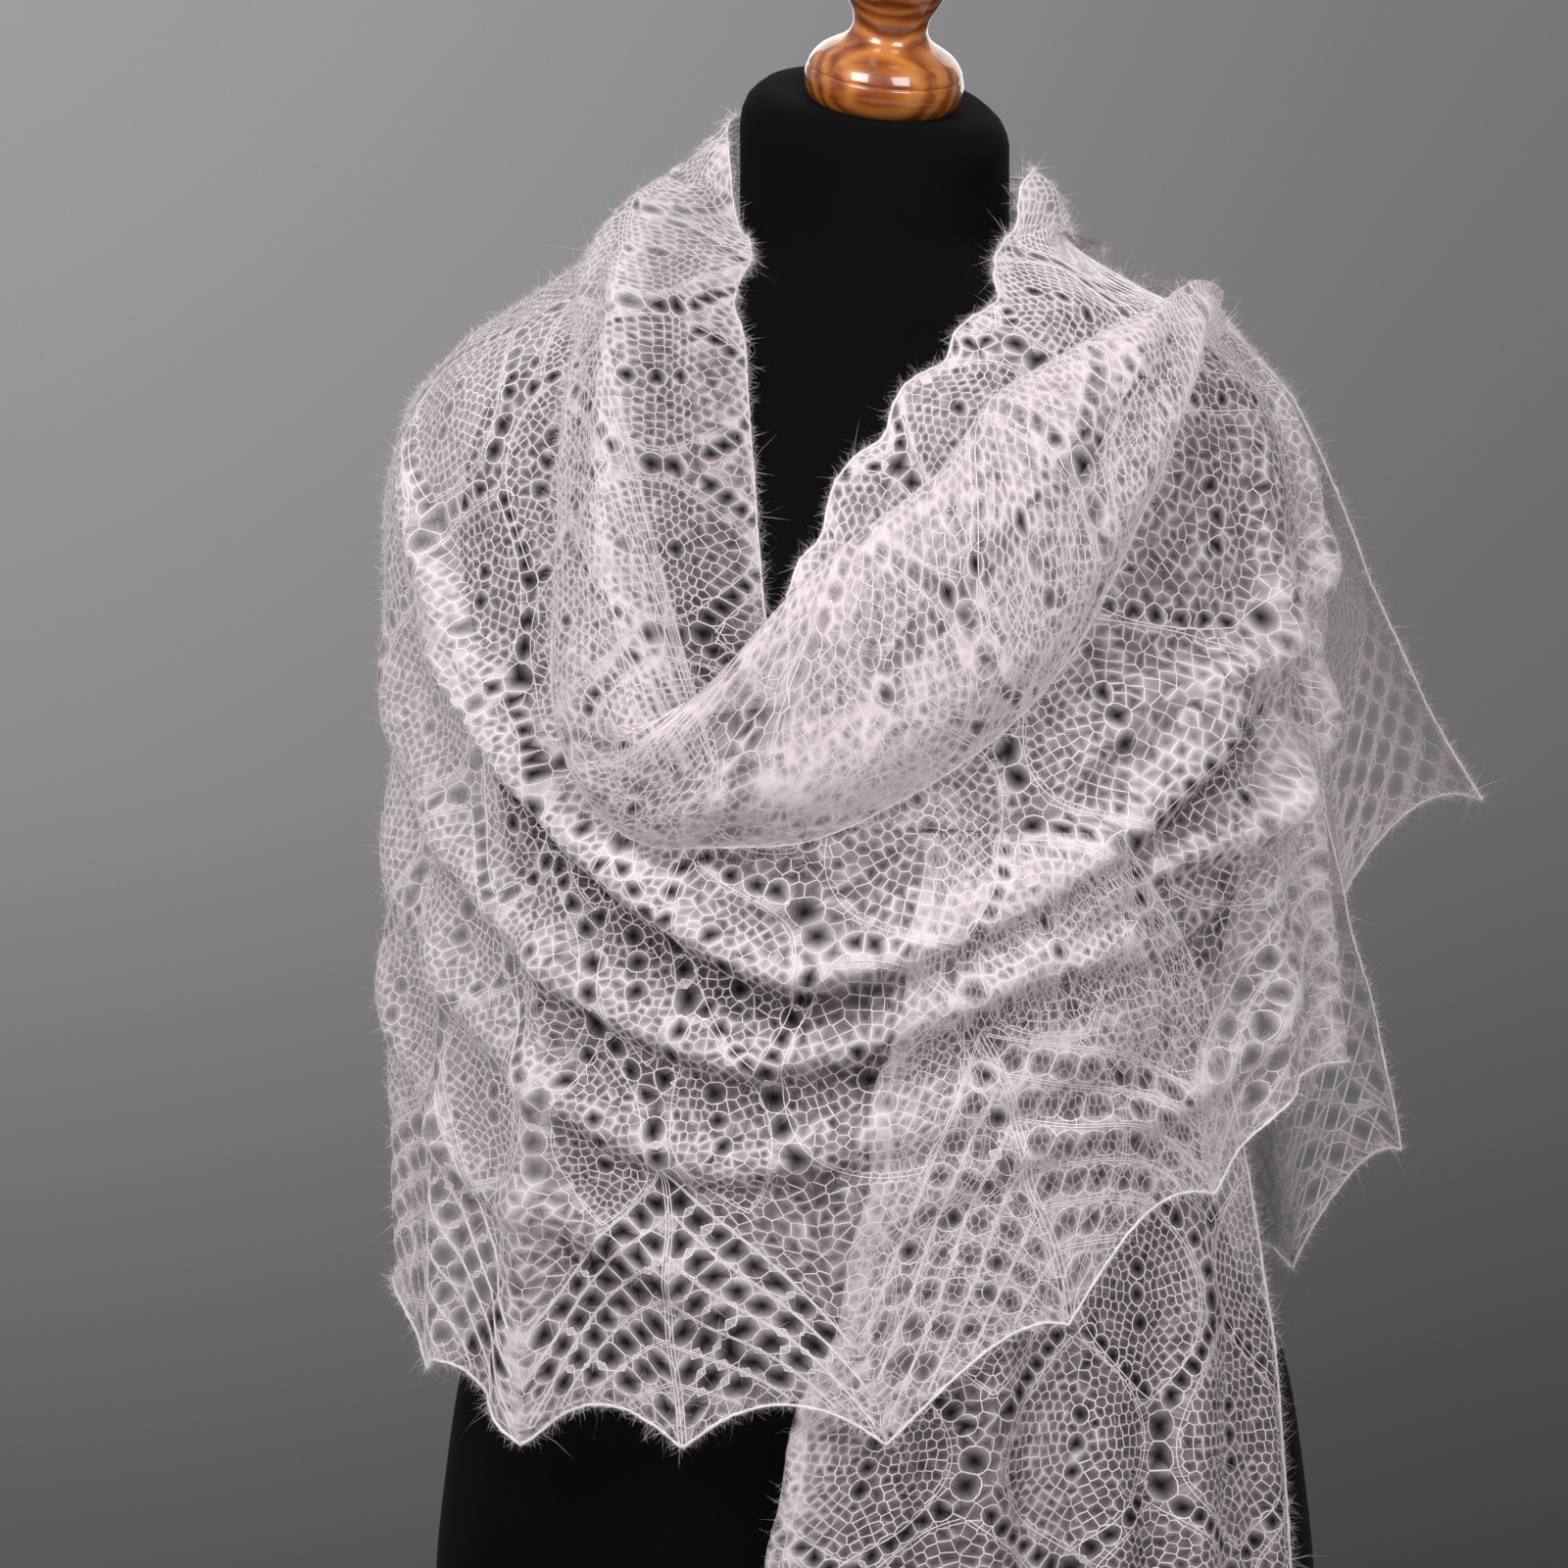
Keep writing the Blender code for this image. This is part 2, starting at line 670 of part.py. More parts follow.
# Each stretch of the stole that shows: its surface, grid, first row with eyelets and
# columns for each scallop
STRETCH_COLUMNS = ("name", "point", "columns", "rows", "first_eyelets", "per_scallop")
STRETCHES = (
    ("shawl_back", wrap_between(-8, -2), 30, 13, 6, 5),
    ("shawl_left_shoulder", wrap_between(-2, 0), 12, 17, 3, 6),
    ("shawl_front_wrap", wrap_between(0, 4), 24, 18, 6, 6),
    ("shawl_right_wrap", wrap_between(4, 7), 17, 15, 3, 6),
    ("shawl_collar_roll", roll_point, 50, 8, 99, 6),
    ("shawl_neck_strip", strip_point, 16, 5, 99, 6),
    ("shawl_front_fall", fall_point, 22, 15, 8, 6),
    ("shawl_thrown_end", thrown_point, 20, 11, 3, 4),
)


def make_shawl(collection):
    for row in STRETCHES:
        stretch = dict(zip(STRETCH_COLUMNS, row))
        eyelets = hem_eyelets(
            stretch["columns"],
            stretch["rows"],
            stretch["first_eyelets"],
            stretch["per_scallop"],
        )
        make_cloth(
            stretch["name"],
            collection,
            stretch["point"],
            stretch["columns"],
            stretch["rows"],
            eyelets,
        )


def clear_scene():
    for obj in list(bpy.data.objects):
        bpy.data.objects.remove(obj, do_unlink=True)


def main():
    clear_scene()
    collection = bpy.data.collections.new("lace_shawl_on_form")
    bpy.context.scene.collection.children.link(collection)
    make_form(collection)
    make_finial(collection)
    make_foot(collection)
    make_shawl(collection)


main()
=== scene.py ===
"""The looks of a knitted mohair lace stole wound round a limbless dress form.

Lengths in the tables are millimetres and angles are degrees, as in the part: a turn of 0 faces
the front (-Y), +90 is the right side (+X). A drop is a depth below the top of the form's neck and
a reach is a length measured down the cloth from the neck. The lace is laid out flat on a chart,
s mm along the hem and t mm up from it, and each chart is then draped over its solid.
"""

import math

import bpy
import numpy as np
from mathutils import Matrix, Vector
from mathutils.geometry import delaunay_2d_cdt


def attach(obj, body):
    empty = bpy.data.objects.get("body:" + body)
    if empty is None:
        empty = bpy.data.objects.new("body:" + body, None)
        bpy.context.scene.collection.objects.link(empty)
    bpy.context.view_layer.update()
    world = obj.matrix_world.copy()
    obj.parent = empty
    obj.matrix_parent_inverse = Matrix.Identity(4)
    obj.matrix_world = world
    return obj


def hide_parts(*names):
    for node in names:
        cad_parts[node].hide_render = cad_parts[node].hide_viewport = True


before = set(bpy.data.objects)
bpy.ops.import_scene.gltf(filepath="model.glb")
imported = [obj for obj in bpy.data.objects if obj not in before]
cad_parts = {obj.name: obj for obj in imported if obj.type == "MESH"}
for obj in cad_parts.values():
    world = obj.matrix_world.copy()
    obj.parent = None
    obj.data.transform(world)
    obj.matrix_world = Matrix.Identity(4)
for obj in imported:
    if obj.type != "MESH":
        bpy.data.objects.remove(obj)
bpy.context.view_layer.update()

MM = 0.001
FOOT_HEIGHT = 160.0
FORM_LENGTH = 760.0
NECK_TOP = FOOT_HEIGHT + FORM_LENGTH
NECK_SLANT_FORWARD = 21.0
NECK_SLANT_SIDE = 6.5
NECK_SLANT_FADE = 75.0
FOOT_RADIUS = 165.0
FOOT_PLATE = 24.0
SEAT_GAP = 0.3
SCALLOP_WIDTH = 73.0
SCALLOP_DEPTH = 17.0
SCALLOP_BAND = 120.0
FLARE_POWER = 2.2
PROBE_TURN = 1.0
PROBE_DOWN = 4.0
SWAG_BOW = 1.5
SWAG_END = 1.25
SWAG_FADE = 0.35
PLEAT_FADE = 0.4
PLEAT_START = 0.2
HOLLOW_BELOW = 15.0
CREST_FULL = 13.0
UNEVEN_SLOW = 1.1
UNEVEN_QUICK = 0.8

# The dress form: sections by drop
BODY_COLUMNS = ("drop", "half_width", "front", "back")
BODY = (
    (0, 46, 46, 46),
    (5, 52, 52, 52),
    (14, 55, 55, 55),
    (60, 55, 56, 57),
    (72, 64, 62, 66),
    (88, 100, 74, 84),
    (98, 128, 82, 92),
    (112, 148, 90, 100),
    (130, 160, 98, 106),
    (150, 166, 107, 111),
    (180, 169, 119, 115),
    (210, 165, 131, 116),
    (250, 158, 141, 114),
    (275, 154, 142, 111),
    (305, 150, 135, 107),
    (350, 141, 116, 98),
    (400, 134, 102, 90),
    (430, 133, 98, 89),
    (470, 146, 102, 98),
    (512, 167, 110, 113),
    (560, 175, 117, 125),
    (600, 179, 120, 131),
    (660, 181, 120, 133),
    (720, 177, 116, 128),
    (748, 170, 110, 121),
    (FORM_LENGTH, 158, 101, 111),
)

# The hang of the wrapped cloth: sections by reach from the neck
HANG_COLUMNS = ("reach", "drop", "left", "right", "front", "back")
HANG = (
    (-45, 5, 59, 59, 59, 59),
    (-20, 30, 61, 61, 61, 63),
    (0, 52, 68, 68, 67, 71),
    (30, 60, 97, 94, 78, 86),
    (60, 71, 124, 114, 87, 97),
    (90, 86, 150, 133, 98, 106),
    (120, 103, 174, 151, 109, 116),
    (150, 127, 192, 168, 124, 126),
    (190, 166, 200, 178, 142, 134),
    (240, 216, 199, 180, 159, 138),
    (290, 266, 194, 180, 168, 138),
    (350, 326, 193, 182, 170, 136),
    (430, 406, 193, 186, 168, 134),
    (500, 476, 192, 186, 165, 135),
    (560, 536, 190, 184, 163, 137),
    (600, 576, 189, 183, 162, 138),
)

# The wrapped length: one row for each scallop point of its hem
WRAP_COLUMNS = (
    "scallop",
    "hem_turn",
    "hem_reach",
    "hem_lift",
    "top_turn",
    "top_reach",
    "top_lift",
)
WRAP = (
    (-8, -262, 455, 32, -254, 8, -6),
    (-7, -249, 506, 2, -234, 12, -6),
    (-6, -223, 518, -4, -210, 14, -6),
    (-5, -197, 516, -4, -184, 14, -6),
    (-4, -170, 510, -4, -157, 16, -5),
    (-3, -143, 503, -2, -130, 18, -3),
    (-2, -117, 500, 0, -100, 22, -1),
    (-1, -91, 512, 0, -67, 34, 0),
    (0, -69, 537, 0, -43, 95, 0),
    (1, -46, 562, 0, -35, 150, 0),
    (2, -23.5, 560, 0, -32, 226, 0),
    (3, 0.6, 557, 0, -24, 300, 0),
    (4, 23, 512, 0, 0, 266, 0),
    (5, 45, 464, 0, 20, 206, 0),
    (5.5, 60, 440, 0, 45, 130, 0),
    (6, 80, 416, 0, 86, 92, 0),
    (7, 98, 350, 3, 99, 84, 0),
)

# Draped folds of the wrap that run across the body, each a curve hung from two ends
SWAG_COLUMNS = (
    "low_turn",
    "low_reach",
    "left_turn",
    "left_reach",
    "right_turn",
    "right_reach",
    "height",
    "above",
    "below",
)
SWAGS = (
    (-9, 379, -62, 234, 50, 274, 17, 22, 9),
    (-4, 355, -26, 336, 30, 320, 5, 8, 7),
    (-14, 412, -72, 290, 44, 330, 10, 20, 9),
    (-18, 452, -76, 340, 30, 400, 7, 18, 10),
    (28, 372, 2, 392, 62, 300, 9, 15, 9),
    (40, 330, 14, 372, 80, 268, 8, 15, 10),
    (-30, 300, -66, 196, -6, 330, 5, 13, 8),
    (46, 262, 24, 300, 84, 196, 6, 14, 9),
    (30, 436, 0, 470, 66, 372, 5, 15, 9),
    (-46, 470, -84, 372, -16, 510, 5, 15, 9),
)

# Folds of the wrap that hang down the body
PLEAT_COLUMNS = ("top_turn", "top_reach", "low_turn", "low_reach", "height", "half_turn")
PLEATS = (
    (-38, 330, -47, 520, 9, 6),
    (-60, 300, -63, 530, 5, 5),
    (-76, 170, -80, 520, 6, 9),
    (75, 110, 74, 400, 8, 5),
    (61, 130, 56, 440, 8, 7),
    (-104, 150, -106, 480, 6, 8),
    (-130, 120, -134, 480, 7, 9),
    (-156, 100, -160, 480, 8, 9),
    (-182, 100, -186, 480, 7, 9),
    (-208, 100, -212, 480, 7, 9),
    (-236, 110, -238, 470, 6, 8),
)

# The rolled collar: sections from behind the right of the neck round to the right shoulder
ROLL_COLUMNS = (
    "inner_turn",
    "inner_drop",
    "inner_lift",
    "crest_turn",
    "crest_reach",
    "crest_lift",
    "outer_turn",
    "outer_reach",
    "outer_lift",
    "bulge",
)
ROLL_RISE_PART = 0.55
ROLL_UPPER_PART = 0.38
ROLL_LOWER_PART = 0.78
ROLL_UPPER_BULGE = 0.75
ROLL_LOWER_BULGE = 1.05
ROLL_FOLDS = 2.6
ROLL_FOLD_WAVER = 0.22
ROLL_FOLD_HEIGHT = 3.2
ROLL = (
    (-250, 37, 5, -250, 8, 5, -250, 40, 4, 2),
    (-215, 20, 5, -215, -9, 11, -215, 44, 4, 5),
    (-175, 8, 3.6, -175, -14, 18, -175, 50, 4, 7),
    (-140, 8, 3.6, -140, -20, 19, -140, 54, 4, 8),
    (-106, 8, 5, -104, -24, 19, -100, 52, 4, 8),
    (-84, 18, 5, -82, -10, 20, -82, 46, 4, 7),
    (-66, 52, 6, -62, 22, 17, -70, 48, 2.6, 7),
    (-36, 83, 7, -37, 84, 15, -50, 96, 2.2, 8),
    (-20, 112, 7, -27, 135, 17, -40, 136, 4, 9),
    (-16, 172, 7, -25.5, 196, 18, -38, 196, 4, 10),
    (-15, 219, 7, -25, 243, 19, -38.5, 240, 6, 11),
    (-13.5, 240, 8, -24.5, 268, 19, -38.5, 268, 9, 11),
    (-12, 250, 10, -24, 282, 18, -36.5, 296, 10, 12),
    (-11, 246, 13, -19.5, 272, 16, -32, 317, 10, 13),
    (-9, 236, 14, -13.5, 250, 14, -24, 329, 9, 14),
    (-6, 220, 14, -8.5, 232, 12, -11, 328, 6, 15),
    (-1, 203, 13, -3, 215, 11, 3.5, 309, 4, 15),
    (9, 176, 13, 7.5, 188, 10, 16.5, 280, 4, 15),
    (16, 148, 13, 14.5, 160, 10, 24, 254, 4, 14),
    (27, 126, 13, 25.5, 140, 10, 31, 218, 4, 12),
    (42, 110, 13, 40, 119, 11, 39, 178, 4, 10),
    (70, 98, 12, 66, 90, 11, 54, 128, 4, 6),
    (90, 101, 7, 89, 90, 3, 82, 102, 1, 1),
)

# The first end beside the neck: sections from the right side of the neck to the breast
STRIP_COLUMNS = ("inner_turn", "inner_drop", "outer_turn", "outer_drop", "puff")
STRIP = (
    (104, 31, 100, 98, 22),
    (88, 27, 87, 98, 22),
    (73, 36, 76, 100, 16),
    (60, 58, 66, 102, 6),
    (40, 74, 50, 112, 4),
    (23, 90, 38, 126, 3),
    (10, 108, 26, 150, 2),
    (3, 128, 18, 175, 1),
    (-4, 155, 10, 197, 0),
    (-9.5, 186, 4, 218, 0),
    (-13, 215, 0, 244, 0),
    (-14, 250, 7, 270, 0),
    (-14, 295, 16, 296, 0),
)
STRIP_LIFT = 6.0
STRIP_SNUG = 0.3
STRIP_PUFF_HIGH = 0.75
STRIP_RIPPLE = 1.2
STRIP_RIPPLES_ACROSS = 2.2
STRIP_RIPPLES_ALONG = 1.1

# The first end where it hangs down the front: sections by drop
FALL_COLUMNS = ("drop", "left_turn", "right_turn", "half_width", "front")
FALL = (
    (299, 4, 34, 168, 145),
    (350, 2, 43, 180, 151),
    (420, -3, 51, 184, 150),
    (500, -10, 57, 186, 149),
    (560, -15, 60, 187, 148),
    (640, -20, 62, 189, 147),
    (720, -20, 63, 190, 145),
    (800, -20, 63, 190, 143),
)
FALL_END = 786.0
FALL_SCALLOPS = 4
FALL_SCALLOP_DEPTH = 20.0
FALL_FOLD_GROWTH = 0.3
FALL_FOLD_COLUMNS = ("turn", "lean", "half_turn", "height", "start")
FALL_FOLDS = (
    (-8, -4, 3.0, 5, 330),
    (3, -5, 4.0, 6, 440),
    (14, -5, 6.0, 14, 400),
    (28, 3, 5.0, 7, 480),
    (42, -3, 6.0, 9, 420),
    (55, 2, 4.0, 6, 480),
)

# The second end, thrown over the right shoulder: one row for each scallop point of its hem
THROWN_COLUMNS = WRAP_COLUMNS
THROWN = (
    (0, 104, 313, 82, 92, 82, 2.2),
    (1, 116, 351, 44, 101, 76, 7),
    (2, 131, 374, 25, 113, 70, 8),
    (3, 148, 404, 18, 127, 64, 9),
    (4, 166, 424, 16, 141, 58, 10),
    (5, 184, 430, 14, 155, 56, 10),
)
THROWN_PLEATS = (
    (112, 120, 124, 360, 6, 6),
    (132, 110, 146, 390, 7, 7),
    (146, 110, 166, 410, 5, 6),
)


def named(table, columns):
    """The table's columns by name, as arrays."""
    rows = np.array(table, float)
    return {name: rows[:, i] for i, name in enumerate(columns)}


def smooth(at, known_at, known):
    """A curve through the known values that doesn't swing past them, read at other places."""
    at = np.clip(at, known_at[0], known_at[-1])
    step = np.diff(known_at)
    slope = np.diff(known) / step
    tangent = np.empty(len(known))
    tangent[0] = slope[0]
    tangent[-1] = slope[-1]
    same_way = slope[:-1] * slope[1:] > 0
    mean = 2 * slope[:-1] * slope[1:] / np.where(same_way, slope[:-1] + slope[1:], 1)
    tangent[1:-1] = np.where(same_way, mean, 0)
    i = np.clip(np.searchsorted(known_at, at, side="right") - 1, 0, len(step) - 1)
    t = (at - known_at[i]) / step[i]
    return (
        (1 + 2 * t) * (1 - t) ** 2 * known[i]
        + t * (1 - t) ** 2 * step[i] * tangent[i]
        + t * t * (3 - 2 * t) * known[i + 1]
        + t * t * (t - 1) * step[i] * tangent[i + 1]
    )


def through(points, t):
    """A curve through each row of points (first axis), read at t from 0 to 1."""
    last = len(points) - 1
    along = np.clip(t, 0, 1) * last
    i = np.minimum(along.astype(int), last - 1)
    f = (along - i)[:, None]
    each = np.arange(len(i))
    before, a, b, after = (points[np.clip(i + k, 0, last), each] for k in (-1, 0, 1, 2))
    return 0.5 * (
        2 * a
        + (b - before) * f
        + (2 * before - 5 * a + 4 * b - after) * f**2
        + (3 * a - before - 3 * b + after) * f**3
    )


BODY_TABLE = named(BODY, BODY_COLUMNS)
HANG_TABLE = named(HANG, HANG_COLUMNS)
WRAP_TABLE = named(WRAP, WRAP_COLUMNS)
THROWN_TABLE = named(THROWN, THROWN_COLUMNS)


def section(turn, half_width, front, back):
    """A point on an oval section."""
    angle = np.radians(turn)
    x = half_width * np.sin(angle)
    y = -np.where(np.cos(angle) > 0, front, back) * np.cos(angle)
    return x, y


def body_point(turn, drop):
    """A point on the dress form."""
    turn, drop = np.broadcast_arrays(turn, drop)
    width, front, back = (
        smooth(drop, BODY_TABLE["drop"], BODY_TABLE[name]) for name in BODY_COLUMNS[1:]
    )
    x, y = section(turn, width, front, back)
    return np.stack([x, y, NECK_TOP - drop], -1)


def hang_point(turn, reach):
    """A point on the smooth surface that the wrapped cloth follows."""
    turn, reach = np.broadcast_arrays(turn, reach)
    drop, left, right, front, back = (
        smooth(reach, HANG_TABLE["reach"], HANG_TABLE[name]) for name in HANG_COLUMNS[1:]
    )
    x, y = section(turn, np.where(np.sin(np.radians(turn)) < 0, left, right), front, back)
    return np.stack([x, y, NECK_TOP - drop], -1)


def lifted(surface, turn, down, lift):
    """A point moved off a surface along its outward direction."""
    across = surface(turn + PROBE_TURN, down) - surface(turn - PROBE_TURN, down)
    along = surface(turn, down + PROBE_DOWN) - surface(turn, down - PROBE_DOWN)
    outward = np.cross(along, across)
    outward /= np.linalg.norm(outward, axis=-1, keepdims=True)
    return surface(turn, down) + outward * np.asarray(lift)[..., None]


def bump(offset, above, below):
    """A rounded ridge, 1 at its crest, with its own width on each side."""
    t = np.clip(np.where(offset < 0, -offset / above, offset / below), 0, 1)
    return (1 - t * t) ** 2


def swag_height(swags, turn, reach):
    """How far the draped folds stand out from the wrap."""
    total = np.zeros(np.broadcast(turn, reach).shape)
    for row in swags:
        fold = dict(zip(SWAG_COLUMNS, row))
        side = np.where(turn < fold["low_turn"], fold["left_turn"], fold["right_turn"])
        end = np.where(turn < fold["low_turn"], fold["left_reach"], fold["right_reach"])
        out = np.abs((turn - fold["low_turn"]) / (side - fold["low_turn"]))
        rise = out**SWAG_BOW
        curve = fold["low_reach"] + (end - fold["low_reach"]) * rise
        fade = np.clip((SWAG_END - out) / SWAG_FADE, 0, 1)
        above = fold["above"] * (1 + rise)
        below = fold["below"] * (1 + rise)
        total += fold["height"] * fade * bump(reach - curve, above, below)
    return total


def pleat_height(pleats, turn, reach):
    """How far the hanging folds stand out."""
    total = np.zeros(np.broadcast(turn, reach).shape)
    for row in pleats:
        fold = dict(zip(PLEAT_COLUMNS, row))
        down = (reach - fold["top_reach"]) / (fold["low_reach"] - fold["top_reach"])
        centre = fold["top_turn"] + (fold["low_turn"] - fold["top_turn"]) * down
        fade = np.clip(down / PLEAT_FADE + PLEAT_START, 0, 1)
        total += fold["height"] * fade * bump(turn - centre, fold["half_turn"], fold["half_turn"])
    return total


def unevenness(s, t):
    """The small rise and fall of cloth arranged by hand."""
    slow = np.sin(s / 31 + t / 47 + 0.6) + 0.8 * np.sin(s / 23 - t / 33 + 2.1)
    quick = np.sin(s / 11 + t / 19 + 1.0) * np.sin(t / 13 - s / 37)
    return UNEVEN_SLOW * slow + UNEVEN_QUICK * quick


def scallop_arch(scallop):
    """0 at each point of a scalloped hem and 1 midway between two points."""
    part = scallop - np.floor(scallop)
    return 1 - (2 * part - 1) ** 2


def hemmed_place(rows, columns, s, t):
    """The turn, reach and flare of a cloth whose hem has a row of scallop points."""
    scallop = s / SCALLOP_WIDTH
    hem_turn, hem_reach, hem_lift, top_turn, top_reach, top_lift = (
        smooth(scallop, rows["scallop"], rows[name]) for name in columns[1:]
    )
    down = np.clip(1 - t / (hem_reach - top_reach), 0, 1)
    reach = top_reach + (hem_reach - top_reach) * down
    nearness = np.clip(1 - (hem_reach - reach) / SCALLOP_BAND, 0, 1)
    reach = reach - SCALLOP_DEPTH * scallop_arch(scallop) * nearness
    turn = top_turn + (hem_turn - top_turn) * down
    return turn, reach, top_lift + (hem_lift - top_lift) * down**FLARE_POWER


def hemmed_point(rows, columns, pleats, swags, s, t):
    turn, reach, lift = hemmed_place(rows, columns, s, t)
    lift = lift + pleat_height(pleats, turn, reach) + swag_height(swags, turn, reach)
    return lifted(hang_point, turn, reach, lift + unevenness(s, t))


def hem_depth(rows, s):
    """How far the cloth reaches up from its hem."""
    scallop = s / SCALLOP_WIDTH
    return smooth(scallop, rows["scallop"], rows["hem_reach"]) - smooth(
        scallop, rows["scallop"], rows["top_reach"]
    )


def wrap_drape(s, t):
    return hemmed_point(WRAP_TABLE, WRAP_COLUMNS, PLEATS, SWAGS, s, t)


def thrown_drape(s, t):
    return hemmed_point(THROWN_TABLE, THROWN_COLUMNS, THROWN_PLEATS, (), s, t)


def wrap_bunching_and_shade(s, t):
    """1 on the folds' crests, where the net bunches, and below 0 in the hollow under each, where
    the thinner haze is painted shade.
    """
    turn, reach, _ = hemmed_place(WRAP_TABLE, WRAP_COLUMNS, s, t)
    here = swag_height(SWAGS, turn, reach) + 0.7 * pleat_height(PLEATS, turn, reach)
    above = swag_height(SWAGS, turn, reach - HOLLOW_BELOW)
    return (here - 0.6 * above) / CREST_FULL


def thrown_crest(s, t):
    turn, reach, _ = hemmed_place(THROWN_TABLE, THROWN_COLUMNS, s, t)
    return pleat_height(THROWN_PLEATS, turn, reach) / CREST_FULL


def roll_bunching_and_shade(s, t):
    v = np.clip(t / roll_width(s), 0, 1)
    station = np.interp(s, ROLL_RUN, ROLL_STATIONS) * (len(ROLL) - 1)
    rims = np.exp(-((v / 0.07) ** 2)) + np.exp(-(((1 - v) / 0.06) ** 2))
    inner_arm = np.exp(-(((station - 10.2) / 1.5) ** 2)) * np.clip((0.34 - v) / 0.12, 0, 1)
    # Denser haze on the rims, on the fold crests where the net bunches, and over the rolled
    # layers; the thinner haze in the fold valleys is painted shade, and the inner side of the left
    # arm is thinned so that it shows darker.
    return 0.55 * roll_fold(station, v) + 0.9 * rims + 0.3 - 0.9 * inner_arm


def strip_crest(s, t):
    return np.exp(-((t / 7) ** 2)) + 0.25


def fall_bunching_and_shade(s, t):
    # Denser haze where the edge curls over and in slow bands across; the 0.25 taken off thins the
    # haze of the whole fall, a painted shade from the wrap above it.
    return 0.9 * np.exp(-(((s - FALL_CURL) / 9) ** 2)) + 0.2 * np.sin(s / 14) - 0.25


ROLL_TABLE = named(ROLL, ROLL_COLUMNS)
STRIP_TABLE = named(STRIP, STRIP_COLUMNS)
FALL_TABLE = named(FALL, FALL_COLUMNS)
FALL_SCALLOP = 62.0
FALL_WIDTH = FALL_SCALLOPS * FALL_SCALLOP
FALL_CURL = 17.0
FALL_CURL_RADIUS = 5.2


def roll_fold(station, v):
    """The lengthwise folds of the bunched collar, uneven along it."""
    waver = ROLL_FOLD_WAVER * np.sin(station * 1.3) + 0.1 * np.sin(station * 3.1)
    strength = 0.75 + 0.25 * np.sin(station * 0.9 + 2)
    shape = np.sin(2 * math.pi * (ROLL_FOLDS * v + waver))
    return strength * shape * np.clip(np.sin(math.pi * v), 0, 1) ** 0.7


def roll_surface(u, v):
    station = u * (len(ROLL) - 1)
    places = np.arange(len(ROLL), dtype=float)
    at = {name: smooth(station, places, ROLL_TABLE[name]) for name in ROLL_COLUMNS}
    inner = lifted(body_point, at["inner_turn"], at["inner_drop"], at["inner_lift"])
    crest = lifted(hang_point, at["crest_turn"], at["crest_reach"], at["crest_lift"])
    outer = lifted(hang_point, at["outer_turn"], at["outer_reach"], at["outer_lift"])

    def slope(part, lift):
        turn = at["crest_turn"] + (at["outer_turn"] - at["crest_turn"]) * part
        reach = at["crest_reach"] + (at["outer_reach"] - at["crest_reach"]) * part
        return lifted(hang_point, turn, reach, lift)

    upper = slope(ROLL_UPPER_PART, at["crest_lift"] + at["bulge"] * ROLL_UPPER_BULGE)
    lower = slope(ROLL_LOWER_PART, at["outer_lift"] + at["bulge"] * ROLL_LOWER_BULGE)
    rise = inner + (crest - inner) * ROLL_RISE_PART
    place = through(np.stack([inner, rise, crest, upper, lower, outer]), v)
    outward = place * np.array([1.0, 1.0, 0.0])
    outward /= np.linalg.norm(outward, axis=-1, keepdims=True)
    return place + outward * (ROLL_FOLD_HEIGHT * roll_fold(station, v))[..., None]


def strip_surface(u, v):
    places = np.arange(len(STRIP), dtype=float)
    at = {name: smooth(u * places[-1], places, STRIP_TABLE[name]) for name in STRIP_COLUMNS}
    turn = at["inner_turn"] + (at["outer_turn"] - at["inner_turn"]) * v
    drop = at["inner_drop"] + (at["outer_drop"] - at["inner_drop"]) * v
    wave = STRIP_RIPPLES_ACROSS * v + STRIP_RIPPLES_ALONG * u
    ripple = STRIP_RIPPLE * np.sin(2 * math.pi * wave)
    puff = at["puff"] * np.sin(math.pi * v**STRIP_PUFF_HIGH)
    against_neck = np.clip(1 - u / STRIP_SNUG, 0, 1) * (1 - v)
    lift = STRIP_LIFT * (1 - 0.75 * against_neck)
    return lifted(body_point, turn, drop, lift + puff + ripple)


def lengthwise(surface, stations=241):
    """The cloth's length along its middle at stations, and its width across there."""
    u = np.linspace(0, 1, stations)
    steps = 24
    rows = [surface(u, np.full(stations, k / steps)) for k in range(steps + 1)]
    across = sum(np.linalg.norm(b - a, axis=1) for a, b in zip(rows[:-1], rows[1:]))
    middle = rows[steps // 2]
    run = np.r_[0, np.cumsum(np.linalg.norm(np.diff(middle, axis=0), axis=1))]
    return u, run, across


ROLL_STATIONS, ROLL_RUN, ROLL_WIDTHS = lengthwise(roll_surface)
STRIP_STATIONS, STRIP_RUN, STRIP_WIDTHS = lengthwise(strip_surface)
ROLL_LENGTH = float(ROLL_RUN[-1])
STRIP_LENGTH = float(STRIP_RUN[-1])


def roll_width(s):
    return np.interp(s, ROLL_RUN, ROLL_WIDTHS)


def strip_width(s):
    return np.interp(s, STRIP_RUN, STRIP_WIDTHS)


def roll_drape(s, t):
    u = np.interp(s, ROLL_RUN, ROLL_STATIONS)
    return roll_surface(u, np.clip(t / roll_width(s), 0, 1))


def strip_drape(s, t):
    u = np.interp(s, STRIP_RUN, STRIP_STATIONS)
    notch = 4.5 * scallop_arch(s / 48) + 1.4 * np.sin(s / 6.5) + 0.9 * np.sin(s / 3.7)
    arch = notch * np.clip(1 - t / 40, 0, 1)
    return strip_surface(u, np.clip((t + arch) / strip_width(s), 0, 1))


